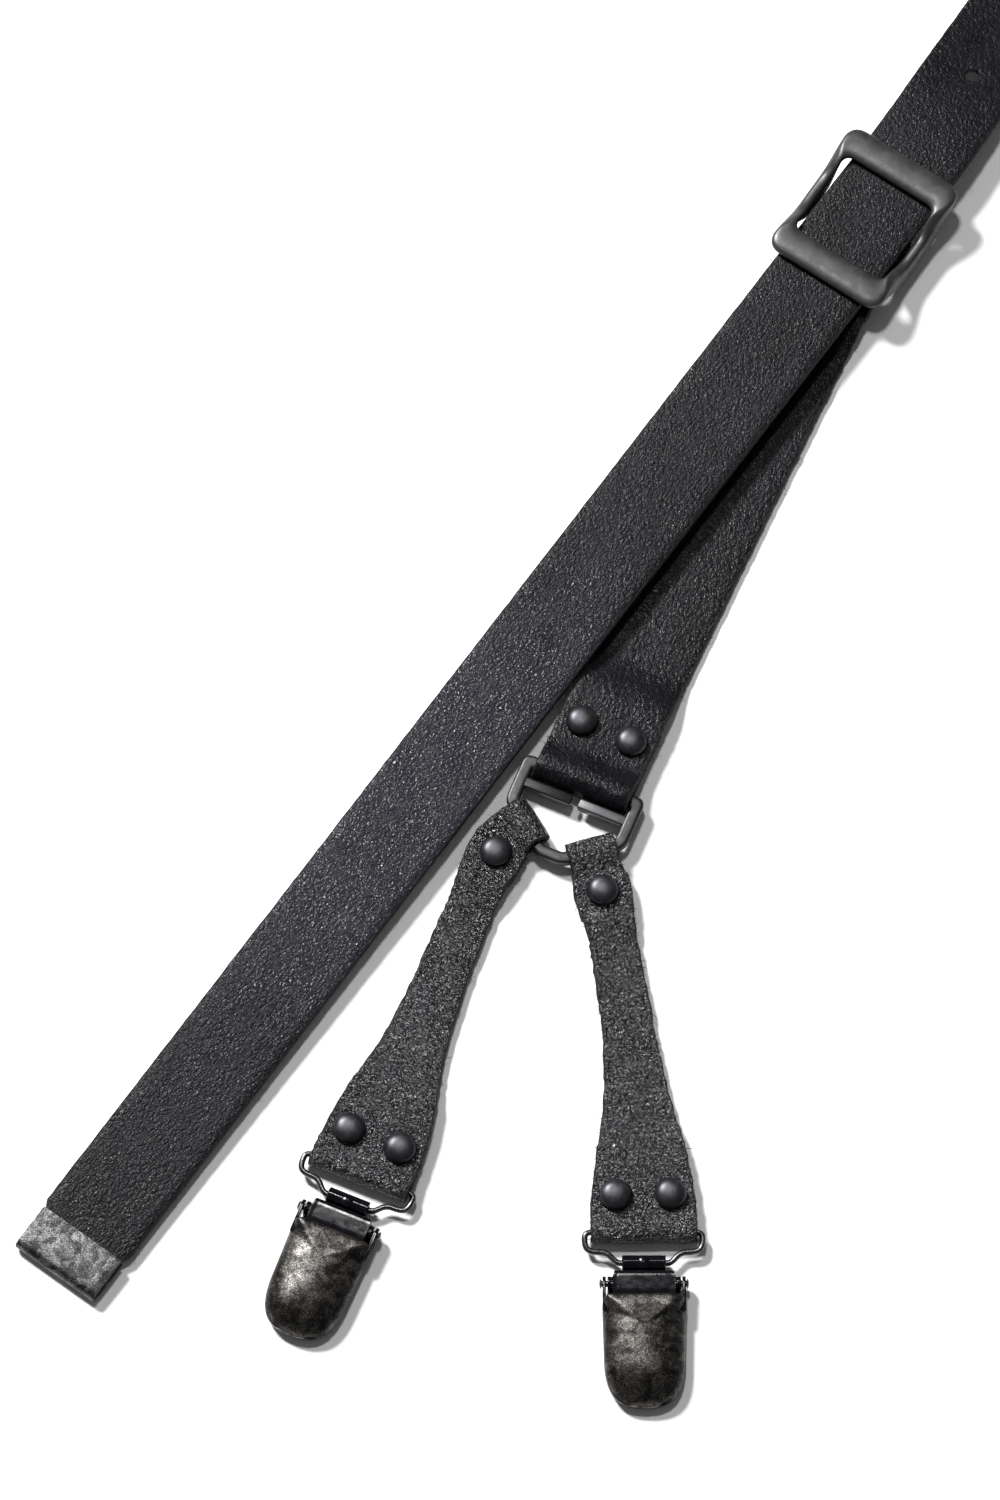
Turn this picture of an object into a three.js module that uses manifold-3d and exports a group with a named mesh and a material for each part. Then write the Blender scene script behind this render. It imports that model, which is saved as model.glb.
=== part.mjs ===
// Y-back clip-on suspenders in leather, laid out flat: two front straps with slide buckles,
// a yoke, a back strap, and a ring with two clip tabs on each of the three ends.
// Millimetres, +Z up, +Y from the front clips towards the back clips.
import * as THREE from 'three';
import { mergeVertices } from 'three/addons/utils/BufferGeometryUtils.js';
import Module from 'manifold-3d';

const wasm = await Module();
wasm.setup();

// ---------------------------------------------------------------- driving dimensions
const GAP = 0.3; // between two pieces that touch

// Layout of the front straps, measured from the point of the yoke where their middles meet
const FRONT_STRAP_LENGTH = 485; // yoke point to the middle of the buckle
const FRONT_STRAP_LEAN = 16.7; // degrees from the middle line, above the buckle
const TAIL_LEAN = 20.8; // degrees, below the buckle
const TAIL_LENGTH = 338.5; // middle of the buckle to the end of the metal tip
const BUCKLE_LEAN = 19.0; // degrees
const BEND_AHEAD = 28; // the strap bends this far above the middle of the buckle
const RING_LEAN = 7.5; // degrees
const RING_STRAP_REACH = 165; // middle of the buckle to the ring's top bar, in a straight line
const RING_STRAP_LEAN = 10.2; // degrees, of that straight line
const BACK_STRAP_LENGTH = 150; // yoke point to the back ring's top bar

// Leather
const STRAP_WIDTH = 25;
const STRAP_THICKNESS = 2.0;
const TAB_THICKNESS = 1.6;
const TAB_REACH = 97.4; // ring bar to wire bar, in a straight line
const TAB_WIDTHS = [ // distance from the ring's bar, width there
  [3.5, 12], [9, 14.8], [22, 11.8], [48, 13],
  [64, 16], [78, 22], [88, 25.2], [95, 25.6],
];
const STRAP_HOLE_RADIUS = 1.9;
const STRAP_HOLE_AHEAD = 50; // above the middle of the buckle

// Yoke plates
const YOKE_THICKNESS = 1.8;
const YOKE_FOOT = 58; // below the yoke point
const YOKE_HEAD = 34; // above the yoke point
const YOKE_FOOT_HALF_WIDTH = 36;
const YOKE_HEAD_HALF_WIDTH = 17;
const YOKE_CORNER = 9;
const YOKE_STOP = 12; // front straps end this far short of the yoke point

// Strap tip: a folded sheet clamp
const TIP_SHEET = 0.7;
const TIP_WIDTH = 23.5;
const TIP_LENGTH = 11.8;

// Buckle
const BUCKLE_LENGTH = 40;
const BUCKLE_END_BAR = 8; // width of each end bar
const BUCKLE_BAR_HEIGHT = 2.8;
const BUCKLE_RAIL = 3.2;
const BUCKLE_SIDE_ROOM = 0.95; // strap edge to rail
const CENTRE_BAR_RADIUS = 1.1;

// Ring
const RING_HALF_WIDTH = 16.1;
const RING_THICKNESS = 2.8;
const RING_BAR = 3.2; // width of the side, slanted and bottom bars
const RING_BEVEL = 0.9;
const TOP_BAR_RADIUS = 1.5;
const CROSSBAR_DOWN = 4.3; // top bar's middle to the crossbar
const CROSSBAR = 2.6;
const CROSSBAR_SPLIT = 2.2;
const RING_SHOULDER = 12; // top bar's middle down to where the sides turn in
const RING_DEPTH = 22.1; // top bar's middle to the bottom edge
const RING_FOOT_HALF_WIDTH = 3.5;
const RING_CORNER = 2.4;

// Rivets
const RIVET_CAP_RADIUS = 4.0;
const RIVET_DOME = 2.1;
const RIVET_LOW_DOME = 0.9; // for the pair that the tail covers
const RIVET_SHANK_RADIUS = 1.5;
const RIVET_FOOT_RADIUS = 3.6;
const RIVET_FOOT = 0.5;
const RIVET_SPACING = 13.3;
const TAB_TOP_RIVET = 10.5; // ring bar to the tab's upper rivet
const TAB_LOW_RIVETS = 9; // wire bar to the tab's lower rivets
const TAB_RING_FOLD_BACK = 16.5; // ring's slanted bar to the end of the folded tab
const TAB_WIRE_FOLD_BACK = 19; // wire bar to the end of the folded tab
const RING_RIVETS = 14.2; // ring's top bar to the strap rivets
const RING_FOLD_BACK = 19.5; // ring's top bar to the end of the folded strap
const BUCKLE_RIVETS = 14; // centre bar to the strap rivets
const BUCKLE_FOLD_BACK = 22; // centre bar to the end of the folded strap
const FOLD_EASE = 8; // a folded strap lies flat again this far from its bar

// Clips, in their own frame: origin on the wire, y towards the mouth
const WIRE_RADIUS = 0.75;
const WIRE_HALF_WIDTH = 14.25;
const WIRE_REACH = 7.7; // top bar to the rolled tube
const WIRE_CORNER = 1.5;
const ROLL_RADIUS = 1.9;
const ROLL_HALF_LENGTH = 5.25;
const PLATE_SHEET = 1.0;
const PLATE_HALF_WIDTH = 8.0;
const PLATE_END = 32;
const EAR_SHEET = 0.8;
const PIN_RADIUS = 0.8;
const PIN_AHEAD = 5.4;
const PIN_RISE = 0.9;
const PIN_PLAY = 0.2;
const JAW_SHEET = 0.9;
const JAW_SIDE_ROOM = 0.4;
const JAW_END = 29;
const JAW_CORNER = 7;
const LEVER_HALF_WIDTH = 10.1;
const LEVER_SHEET = 0.9;
const LEVER_START = 8.4;
const LEVER_END = 36;
const LEVER_TOP = 4.9;
const LEVER_SKIRT = -0.9;
const LEVER_CROWN = 3.2; // how far the lid's top edge is rounded
const LEVER_CORNER = 5;

// ---------------------------------------------------------------- derived heights and places
const BAR_HEIGHT = STRAP_THICKNESS + GAP + CENTRE_BAR_RADIUS; // buckle's centre bar
const RING_STRAP_TOP = BAR_HEIGHT + CENTRE_BAR_RADIUS + GAP + STRAP_THICKNESS;
const MAIN_HEIGHT = RING_STRAP_TOP + GAP + STRAP_THICKNESS / 2; // main strap's middle, in the buckle
const END_BAR_UNDER = MAIN_HEIGHT + STRAP_THICKNESS / 2 + GAP;
const TIP_HEIGHT = TIP_SHEET + GAP + STRAP_THICKNESS / 2;
const TAIL_SLOPE = Math.atan((MAIN_HEIGHT - TIP_HEIGHT) / TAIL_LENGTH);
const FLAT_HEIGHT = STRAP_THICKNESS / 2; // a strap's middle where it lies on the table
const YOKE_LAYER = YOKE_THICKNESS + GAP + STRAP_THICKNESS / 2;
const RING_HEIGHT = STRAP_THICKNESS + GAP + TOP_BAR_RADIUS;
const WIRE_HEIGHT = TAB_THICKNESS + GAP + WIRE_RADIUS + 0.05;
const RIVET_ROOM = RIVET_FOOT + 2 * GAP; // under the lower layer, at the rivets
const STRAP_LOW = RIVET_ROOM - GAP / 2 + STRAP_THICKNESS / 2;
const STRAP_HIGH = STRAP_LOW + STRAP_THICKNESS + GAP;
const TAB_LOW = RIVET_ROOM + TAB_THICKNESS / 2;
const TAB_HIGH = TAB_LOW + TAB_THICKNESS + GAP;
const SLANT = Math.atan2(RING_DEPTH - RING_SHOULDER, RING_HALF_WIDTH - RING_FOOT_HALF_WIDTH);
const SLANT_BAR_RADIUS = RING_BAR / 2;

const rad = THREE.MathUtils.degToRad;
const vec = (x, y) => new THREE.Vector2(x, y);
const leaning = (degrees) => vec(Math.sin(rad(degrees)), Math.cos(rad(degrees)));

// ---------------------------------------------------------------- solids
function welded(geometry) {
  const plain = geometry.index ? geometry.toNonIndexed() : geometry.clone();
  plain.deleteAttribute('normal');
  plain.deleteAttribute('uv');
  return mergeVertices(plain, 1e-4);
}

function toSolid(geometry) {
  const mesh = welded(geometry);
  const vertProperties = new Float32Array(mesh.attributes.position.array);
  const triVerts = new Uint32Array(mesh.index.array);
  return new wasm.Manifold(new wasm.Mesh({ numProp: 3, vertProperties, triVerts }));
}

function toGeometry(solid) {
  const mesh = solid.getMesh();
  const geometry = new THREE.BufferGeometry();
  geometry.setAttribute('position', new THREE.BufferAttribute(mesh.vertProperties, 3));
  geometry.setIndex(new THREE.BufferAttribute(mesh.triVerts, 1));
  geometry.computeVertexNormals();
  return geometry;
}

const joined = (...pieces) =>
  toGeometry(pieces.map(toSolid).reduce((whole, piece) => whole.add(piece)));
const cutBy = (body, ...tools) =>
  toGeometry(tools.map(toSolid).reduce((whole, tool) => whole.subtract(tool), toSolid(body)));
const keptIn = (body, tool) => toGeometry(toSolid(body).intersect(toSolid(tool)));

/** A side outline, drawn as (y, z), made solid across the width from x = from to x = to. */
function across(outline, from, to) {
  const settings = { depth: to - from, bevelEnabled: false, curveSegments: 6 };
  const geometry = new THREE.ExtrudeGeometry(outline, settings);
  geometry.translate(0, 0, from);
  const turned = new THREE.Matrix4().set(0, 0, 1, 0, 1, 0, 0, 0, 0, 1, 0, 0, 0, 0, 0, 1);
  return geometry.applyMatrix4(turned);
}

/** A round rod along x. */
function rodAcross(radius, from, to, y, z, sides = 10) {
  const rod = new THREE.CylinderGeometry(radius, radius, to - from, sides);
  return rod.rotateZ(Math.PI / 2).translate((from + to) / 2, y, z);
}

/** A round cutter along z. */
function drill(radius, x, y, depth = 40) {
  return new THREE.CylinderGeometry(radius, radius, depth, 8).rotateX(Math.PI / 2).translate(x, y, 0);
}

// ---------------------------------------------------------------- straps
/** Where a strap lies in plan: straight leads at both ends of a curve. */
class Lay {
  constructor(curve, lead) {
    this.curve = curve;
    this.lead = lead;
    this.curveLength = curve.getLength();
    this.length = this.curveLength + 2 * lead;
  }

  /** The point and direction at a distance along the strap, which may lie beyond its ends. */
  at(run) {
    const share = THREE.MathUtils.clamp((run - this.lead) / this.curveLength, 0, 1);
    const direction = this.curve.getTangentAt(share);
    const beyond = run - this.lead - share * this.curveLength;
    const point = this.curve.getPointAt(share).addScaledVector(direction, beyond);
    return { point, direction };
  }

  /** A point that lies a sideways distance off the middle, positive to the right. */
  beside(run, offset) {
    const { point, direction } = this.at(run);
    return vec(point.x + direction.y * offset, point.y - direction.x * offset);
  }
}

/** A lay from one point to another that leaves and arrives in given directions. */
function layBetween(start, startDirection, end, endDirection, lead, startHandle, endHandle) {
  const from = start.clone().addScaledVector(startDirection, lead);
  const to = end.clone().addScaledVector(endDirection, -lead);
  const curve = new THREE.CubicBezierCurve(
    from,
    from.clone().addScaledVector(startDirection, startHandle),
    to.clone().addScaledVector(endDirection, -endHandle),
    to,
  );
  return new Lay(curve, lead);
}

/** The middle line of a strap in (run, height), with no two points alike or far apart. */
function middleLine(path, longestStep) {
  const line = [];
  for (const point of path.getPoints(4)) {
    const last = line[line.length - 1];
    const distance = last ? last.distanceTo(point) : 0;
    if (last && distance < 0.02) continue;
    const pieces = Math.max(1, Math.ceil(distance / longestStep));
    for (let i = 1; last && i < pieces; i += 1) line.push(last.clone().lerp(point, i / pieces));
    line.push(point.clone());
  }
  return line;
}

/**
 * A strap as a long box bent along its middle line and laid along its plan.
 * halfWidths(run) gives the widths to the right and to the left of the middle.
 */
function strap(line, thickness, lay, halfWidths) {
  const last = line.length - 1;
  const geometry = new THREE.BoxGeometry(last, 1, 2, last, 1, 1);
  const position = geometry.attributes.position;
  for (let i = 0; i < position.count; i += 1) {
    const station = Math.round(position.getX(i) + last / 2);
    const before = line[Math.max(station - 1, 0)];
    const after = line[Math.min(station + 1, last)];
    const along = after.clone().sub(before).normalize();
    const out = position.getY(i) * thickness;
    const run = line[station].x - along.y * out;
    const height = line[station].y + along.x * out;
    const [right, left] = halfWidths(line[station].x);
    const place = lay.beside(run, position.getZ(i) > 0 ? right : -left);
    position.setXYZ(i, place.x, place.y, height);
  }
  return geometry;
}

const evenWidth = () => [STRAP_WIDTH / 2, STRAP_WIDTH / 2];

/** The end of a strap that is folded round a ring's top bar, added to a path that ends flat. */
function foldOverRing(path, reach) {
  const rise = reach - RING_FOLD_BACK - FOLD_EASE;
  path.lineTo(rise, FLAT_HEIGHT);
  path.bezierCurveTo(rise + 3, FLAT_HEIGHT, rise + 4, STRAP_HIGH, rise + 7, STRAP_HIGH);
  path.lineTo(reach - FOLD_EASE, STRAP_HIGH);
  const radius = TOP_BAR_RADIUS + GAP + STRAP_THICKNESS / 2;
  const top = RING_HEIGHT + radius;
  path.bezierCurveTo(reach - 5, STRAP_HIGH, reach - 3, top, reach, top);
  path.absarc(reach, RING_HEIGHT, radius, Math.PI / 2, -Math.PI / 2, true);
  path.lineTo(reach - FOLD_EASE, STRAP_LOW);
  path.lineTo(reach - RING_FOLD_BACK, STRAP_LOW);
}

/** The line of a clip tab: folded round the ring's slanted bar and round the clip's wire. */
function tabLine(length) {
  const ringRadius = SLANT_BAR_RADIUS + GAP + TAB_THICKNESS / 2;
  const wireRadius = WIRE_RADIUS + GAP + TAB_THICKNESS / 2;
  const path = new THREE.Path();
  path.moveTo(TAB_RING_FOLD_BACK, TAB_LOW);
  path.lineTo(FOLD_EASE, TAB_LOW);
  path.lineTo(0, RING_HEIGHT - ringRadius);
  path.absarc(0, RING_HEIGHT, ringRadius, -Math.PI / 2, Math.PI / 2, true);
  path.bezierCurveTo(2.4, RING_HEIGHT + ringRadius, 3.8, TAB_HIGH, 6.4, TAB_HIGH);
  path.lineTo(TAB_RING_FOLD_BACK, TAB_HIGH);
  path.bezierCurveTo(20, TAB_HIGH, 22, TAB_LOW, 27, TAB_LOW);
  path.lineTo(length - 30, TAB_LOW);
  path.bezierCurveTo(length - 26, TAB_LOW, length - 25, TAB_HIGH, length - 21, TAB_HIGH);
  path.lineTo(length - 4.5, TAB_HIGH);
  const wireTop = WIRE_HEIGHT + wireRadius;
  path.bezierCurveTo(length - 3, TAB_HIGH, length - 1.5, wireTop, length, wireTop);
  path.absarc(length, WIRE_HEIGHT, wireRadius, Math.PI / 2, -Math.PI / 2, true);
  path.lineTo(length - 4.5, TAB_LOW);
  path.lineTo(length - TAB_WIRE_FOLD_BACK, TAB_LOW);
  return middleLine(path, 9);
}

/** Half the width of a tab at a distance from the ring's bar. */
function tabHalfWidth(run) {
  const next = TAB_WIDTHS.findIndex(([place]) => place > run);
  if (next === 0) return TAB_WIDTHS[0][1] / 2;
  if (next < 0) return TAB_WIDTHS[TAB_WIDTHS.length - 1][1] / 2;
  const [from, narrow] = TAB_WIDTHS[next - 1];
  const [to, wide] = TAB_WIDTHS[next];
  return THREE.MathUtils.mapLinear(run, from, to, narrow, wide) / 2;
}

// ---------------------------------------------------------------- materials and meshes
const LEATHER = { color: 0x1b1b1e, roughness: 0.55, metalness: 0 };
const GUNMETAL = { color: 0x3a3b3d, roughness: 0.42, metalness: 0.85 };
const ANTIQUE = { color: 0x5d5c58, roughness: 0.45, metalness: 0.9 };
const WIRE_STEEL = { color: 0x2e2f31, roughness: 0.28, metalness: 0.9 };
const BLACK_STEEL = { color: 0x141416, roughness: 0.4, metalness: 0.6 };
const BLACK_ENAMEL = { color: 0x0d0d0f, roughness: 0.15, metalness: 0.3 };

function piece(name, geometry, look) {
  const mesh = new THREE.Mesh(geometry, new THREE.MeshStandardMaterial(look));
  mesh.name = name;
  return mesh;
}

function frameAt(x, y, z, turn, tilt = 0) {
  const frame = new THREE.Group();
  frame.position.set(x, y, z);
  frame.rotation.set(tilt, 0, turn, 'ZXY');
  return frame;
}

// ---------------------------------------------------------------- rivets
/** A double-cap rivet through two layers, standing on z = 0 at the lower layer's middle. */
function rivet(name, layer, dome) {
  const under = -layer / 2 - GAP;
  const over = layer * 1.5 + 2 * GAP;
  const shoulder = over + 0.35 * dome;
  const profile = [
    vec(0, under - RIVET_FOOT),
    vec(RIVET_FOOT_RADIUS - 0.2, under - RIVET_FOOT),
    vec(RIVET_FOOT_RADIUS, under),
    vec(RIVET_SHANK_RADIUS, under),
    vec(RIVET_SHANK_RADIUS, over),
    vec(RIVET_CAP_RADIUS - 0.3, over),
    vec(RIVET_CAP_RADIUS, shoulder),
    vec(RIVET_CAP_RADIUS * 0.72, over + 0.8 * dome),
    vec(0, over + dome),
  ];
  const geometry = new THREE.LatheGeometry(profile, 10).rotateX(Math.PI / 2);
  return piece(name, geometry, BLACK_ENAMEL);
}

// ---------------------------------------------------------------- ring
/** A flat cast ring: top bar, split crossbar and V-shaped foot. y runs towards the tabs. */
function ring(name) {
  const inner = RING_HALF_WIDTH - RING_BAR;
  const outline = new THREE.Shape();
  const outer = [
    vec(RING_HALF_WIDTH, -TOP_BAR_RADIUS),
    vec(RING_HALF_WIDTH, RING_SHOULDER),
    vec(RING_FOOT_HALF_WIDTH, RING_DEPTH),
    vec(-RING_FOOT_HALF_WIDTH, RING_DEPTH),
    vec(-RING_HALF_WIDTH, RING_SHOULDER),
    vec(-RING_HALF_WIDTH, -TOP_BAR_RADIUS),
  ];
  roundedLoop(outline, outer, RING_CORNER);
  const footInner = RING_FOOT_HALF_WIDTH - RING_BAR * Math.tan(SLANT / 2);
  const shoulderInner = RING_SHOULDER - RING_BAR * Math.tan((Math.PI / 2 - SLANT) / 2);
  const half = CROSSBAR_SPLIT / 2;
  const opening = new THREE.Path([
    vec(-inner, TOP_BAR_RADIUS),
    vec(-inner, CROSSBAR_DOWN),
    vec(-half, CROSSBAR_DOWN),
    vec(-half, CROSSBAR_DOWN + CROSSBAR),
    vec(-inner, CROSSBAR_DOWN + CROSSBAR),
    vec(-inner, shoulderInner),
    vec(-footInner, RING_DEPTH - RING_BAR),
    vec(footInner, RING_DEPTH - RING_BAR),
    vec(inner, shoulderInner),
    vec(inner, CROSSBAR_DOWN + CROSSBAR),
    vec(half, CROSSBAR_DOWN + CROSSBAR),
    vec(half, CROSSBAR_DOWN),
    vec(inner, CROSSBAR_DOWN),
    vec(inner, TOP_BAR_RADIUS),
    vec(-inner, TOP_BAR_RADIUS),
  ]);
  outline.holes.push(opening);
  const geometry = new THREE.ExtrudeGeometry(outline, {
    depth: RING_THICKNESS - 2 * RING_BEVEL,
    bevelThickness: RING_BEVEL,
    bevelSize: RING_BEVEL,
    bevelOffset: -RING_BEVEL,
    bevelSegments: 2,
    curveSegments: 3,
  });
  return piece(name, geometry.translate(0, 0, RING_BEVEL - RING_THICKNESS / 2), GUNMETAL);
}

/** Draws a closed loop through corners that are rounded off by the same length. */
function roundedLoop(path, corners, round) {
  corners.forEach((corner, i) => {
    const before = corners[(i + corners.length - 1) % corners.length];
    const after = corners[(i + 1) % corners.length];
    const reach = Math.min(round, corner.distanceTo(before) / 2, corner.distanceTo(after) / 2);
    const start = corner.clone().add(before.clone().sub(corner).setLength(reach));
    const end = corner.clone().add(after.clone().sub(corner).setLength(reach));
    if (i === 0) path.moveTo(start.x, start.y);
    else path.lineTo(start.x, start.y);
    path.quadraticCurveTo(corner.x, corner.y, end.x, end.y);
  });
  path.closePath();
}

// ---------------------------------------------------------------- buckle
/** A slide buckle. y runs up the strap, z = 0 is the table under its middle. */
function buckle(name) {
  const inner = STRAP_WIDTH / 2 + BUCKLE_SIDE_ROOM;
  const outer = inner + BUCKLE_RAIL;
  const end = BUCKLE_LENGTH / 2;
  const window = end - BUCKLE_END_BAR;
  const top = END_BAR_UNDER + BUCKLE_BAR_HEIGHT;
  const barShape = new THREE.Shape();
  barShape.moveTo(window, END_BAR_UNDER);
  barShape.lineTo(end, END_BAR_UNDER);
  barShape.lineTo(end, END_BAR_UNDER + 1.2);
  barShape.bezierCurveTo(end - 1, top, window + 1, top, window, END_BAR_UNDER + 1.2);
  const railShape = new THREE.Shape();
  railShape.moveTo(-end, END_BAR_UNDER);
  railShape.lineTo(-window - 0.5, END_BAR_UNDER);
  railShape.lineTo(-4, BAR_HEIGHT - CENTRE_BAR_RADIUS);
  railShape.lineTo(4, BAR_HEIGHT - CENTRE_BAR_RADIUS);
  railShape.lineTo(window + 0.5, END_BAR_UNDER);
  railShape.lineTo(end, END_BAR_UNDER);
  railShape.lineTo(end, END_BAR_UNDER + 1.2);
  railShape.lineTo(end - 1.5, top - 0.6);
  railShape.lineTo(window, top - 0.6);
  railShape.bezierCurveTo(window - 4, top - 1.2, 4, top - 3.6, 0, top - 3.6);
  railShape.bezierCurveTo(-4, top - 3.6, 4 - window, top - 1.2, -window, top - 0.6);
  railShape.lineTo(1.5 - end, top - 0.6);
  railShape.lineTo(-end, END_BAR_UNDER + 1.2);
  const frontBar = across(barShape, -outer, outer);
  const rearBar = frontBar.clone().rotateZ(Math.PI);
  const geometry = joined(
    frontBar,
    rearBar,
    across(railShape, inner, outer),
    across(railShape, -outer, -inner),
    rodAcross(CENTRE_BAR_RADIUS, -inner - 1, inner + 1, 0, BAR_HEIGHT),
  );
  return piece(name, geometry, GUNMETAL);
}

// ---------------------------------------------------------------- strap tip
/** A sheet folded over the strap's end. y runs up the strap from the leather's end. */
function strapTip(name) {
  const slot = STRAP_THICKNESS / 2 + GAP;
  const half = slot + TIP_SHEET;
  const reach = TIP_LENGTH - half;
  const outline = new THREE.Shape();
  outline.moveTo(reach, slot);
  outline.lineTo(reach, half);
  outline.lineTo(0, half);
  outline.absarc(0, 0, half, Math.PI / 2, 1.5 * Math.PI, false);
  outline.lineTo(reach, -half);
  outline.lineTo(reach, -slot);
  outline.lineTo(0, -slot);
  outline.absarc(0, 0, slot, 1.5 * Math.PI, Math.PI / 2, true);
  return piece(name, across(outline, -TIP_WIDTH / 2, TIP_WIDTH / 2), ANTIQUE);
}

// ---------------------------------------------------------------- clips
/** The bent wire that joins a tab to its clip. Origin on the top bar, y towards the clip. */
function clipWire(name) {
  const point = (x, y) => new THREE.Vector3(x, y, 0);
  const half = (side) => {
    const bend = new THREE.CubicBezierCurve3(
      point(side * 5.6, WIRE_REACH),
      point(side * 7.6, WIRE_REACH),
      point(side * 7.6, WIRE_REACH - 2.75),
      point(side * 10.6, WIRE_REACH - 2.75),
    );
    const shoulder = new THREE.CubicBezierCurve3(
      point(side * 10.6, WIRE_REACH - 2.75),
      point(side * (WIRE_HALF_WIDTH - 0.8), WIRE_REACH - 2.75),
      point(side * WIRE_HALF_WIDTH, WIRE_REACH - 3.4),
      point(side * WIRE_HALF_WIDTH, WIRE_CORNER),
    );
    const corner = new THREE.QuadraticBezierCurve3(
      point(side * WIRE_HALF_WIDTH, WIRE_CORNER),
      point(side * WIRE_HALF_WIDTH, 0),
      point(side * (WIRE_HALF_WIDTH - WIRE_CORNER), 0),
    );
    return [...bend.getPoints(5), ...shoulder.getPoints(5).slice(1), ...corner.getPoints(3).slice(1)];
  };
  const end = point(1.3, WIRE_REACH);
  const centre = [end, ...half(1), ...half(-1).reverse(), point(-1.3, WIRE_REACH)];
  return piece(name, wireAlong(centre, WIRE_RADIUS, 6), WIRE_STEEL);
}

/** A round wire along points that lie in one level plane: a rod bent station by station. */
function wireAlong(centre, radius, sides) {
  const last = centre.length - 1;
  const rod = new THREE.CylinderGeometry(radius, radius, last, sides, last);
  const position = rod.attributes.position;
  for (let i = 0; i < position.count; i += 1) {
    const station = Math.round(position.getY(i) + last / 2);
    const before = centre[Math.max(station - 1, 0)];
    const after = centre[Math.min(station + 1, last)];
    const along = after.clone().sub(before).normalize();
    const out = position.getX(i);
    const { x, y } = centre[station];
    position.setXYZ(i, x + along.y * out, y - along.x * out, position.getZ(i));
  }
  return rod;
}

/** The clip's base: a plate, a roll round the wire and two ears for the pin. */
function clipPlate(name) {
  const under = -WIRE_HEIGHT;
  const outline = new THREE.Shape();
  const side = PLATE_HALF_WIDTH + EAR_SHEET;
  const corners = [
    vec(-side, 2.6),
    vec(side, 2.6),
    vec(side, PLATE_END - 7),
    vec(6, PLATE_END),
    vec(-6, PLATE_END),
    vec(-side, PLATE_END - 7),
  ];
  roundedLoop(outline, corners, 2);
  const sheet = { depth: PLATE_SHEET, bevelEnabled: false, curveSegments: 3 };
  const plate = new THREE.ExtrudeGeometry(outline, sheet).translate(0, 0, under);
  const neckShape = new THREE.Shape([
    vec(0, under + PLATE_SHEET * 0.4),
    vec(3, under),
    vec(3, under + PLATE_SHEET),
    vec(1.2, -1.2),
    vec(0, -1.2),
  ]);
  const neck = across(neckShape, -ROLL_HALF_LENGTH, ROLL_HALF_LENGTH);
  const roll = rodAcross(ROLL_RADIUS, -ROLL_HALF_LENGTH, ROLL_HALF_LENGTH, 0, 0);
  const bore = rodAcross(WIRE_RADIUS + GAP, -ROLL_HALF_LENGTH - 1, ROLL_HALF_LENGTH + 1, 0, 0);
  const earShape = new THREE.Shape();
  earShape.moveTo(PIN_AHEAD - 2.4, under);
  earShape.lineTo(PIN_AHEAD + 2.4, under);
  earShape.lineTo(PIN_AHEAD + 1.8, PIN_RISE);
  earShape.absarc(PIN_AHEAD, PIN_RISE, 1.8, 0, Math.PI, false);
  earShape.lineTo(PIN_AHEAD - 2.4, under);
  const ears = [
    across(earShape, PLATE_HALF_WIDTH, side),
    across(earShape, -side, -PLATE_HALF_WIDTH),
  ];
  const pinHole = rodAcross(PIN_RADIUS + PIN_PLAY, -side - 1, side + 1, PIN_AHEAD, PIN_RISE);
  return piece(name, cutBy(joined(plate, neck, roll, ...ears), bore, pinHole), BLACK_STEEL);
}

/** The pin that the lever turns on, with a head at each end. */
function clipPin(name) {
  const head = PLATE_HALF_WIDTH + 2 * EAR_SHEET + JAW_SIDE_ROOM + GAP;
  const profile = [
    vec(0, -head - 0.5), vec(1.1, -head - 0.3), vec(1.3, -head), vec(PIN_RADIUS, -head),
    vec(PIN_RADIUS, head), vec(1.3, head), vec(1.1, head + 0.3), vec(0, head + 0.5),
  ];
  const geometry = new THREE.LatheGeometry(profile, 8).rotateZ(Math.PI / 2);
  return piece(name, geometry.translate(0, PIN_AHEAD, PIN_RISE), WIRE_STEEL);
}

/** The upper jaw: it rises behind the pin, passes over it and slopes down to the mouth. */
function clipJaw(name) {
  const floor = -WIRE_HEIGHT + PLATE_SHEET + GAP;
  const over = PIN_RISE + PIN_RADIUS + PIN_PLAY;
  const outline = new THREE.Shape([
    vec(2.3, floor), vec(3.2, floor), vec(3.2, over), vec(PIN_AHEAD + 2, over),
    vec(JAW_END - 3, floor + 0.8), vec(JAW_END - JAW_SHEET, floor), vec(JAW_END, floor),
    vec(JAW_END, floor + 0.8), vec(JAW_END - 2.6, floor + 0.8 + JAW_SHEET),
    vec(PIN_AHEAD + 2.3, over + JAW_SHEET), vec(2.7, over + JAW_SHEET), vec(2.3, over + JAW_SHEET / 2),
  ]);
  const half = PLATE_HALF_WIDTH - JAW_SIDE_ROOM;
  const plan = new THREE.Shape();
  const corners = [
    vec(-half, -JAW_CORNER),
    vec(half, -JAW_CORNER),
    vec(half, JAW_END),
    vec(-half, JAW_END),
  ];
  roundedLoop(plan, corners, JAW_CORNER);
  const prism = new THREE.ExtrudeGeometry(plan, { depth: 20, bevelEnabled: false, curveSegments: 4 });
  const sheet = across(outline, -half - 1, half + 1);
  return piece(name, keptIn(sheet, prism.translate(0, 0, -10)), BLACK_STEEL);
}

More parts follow.
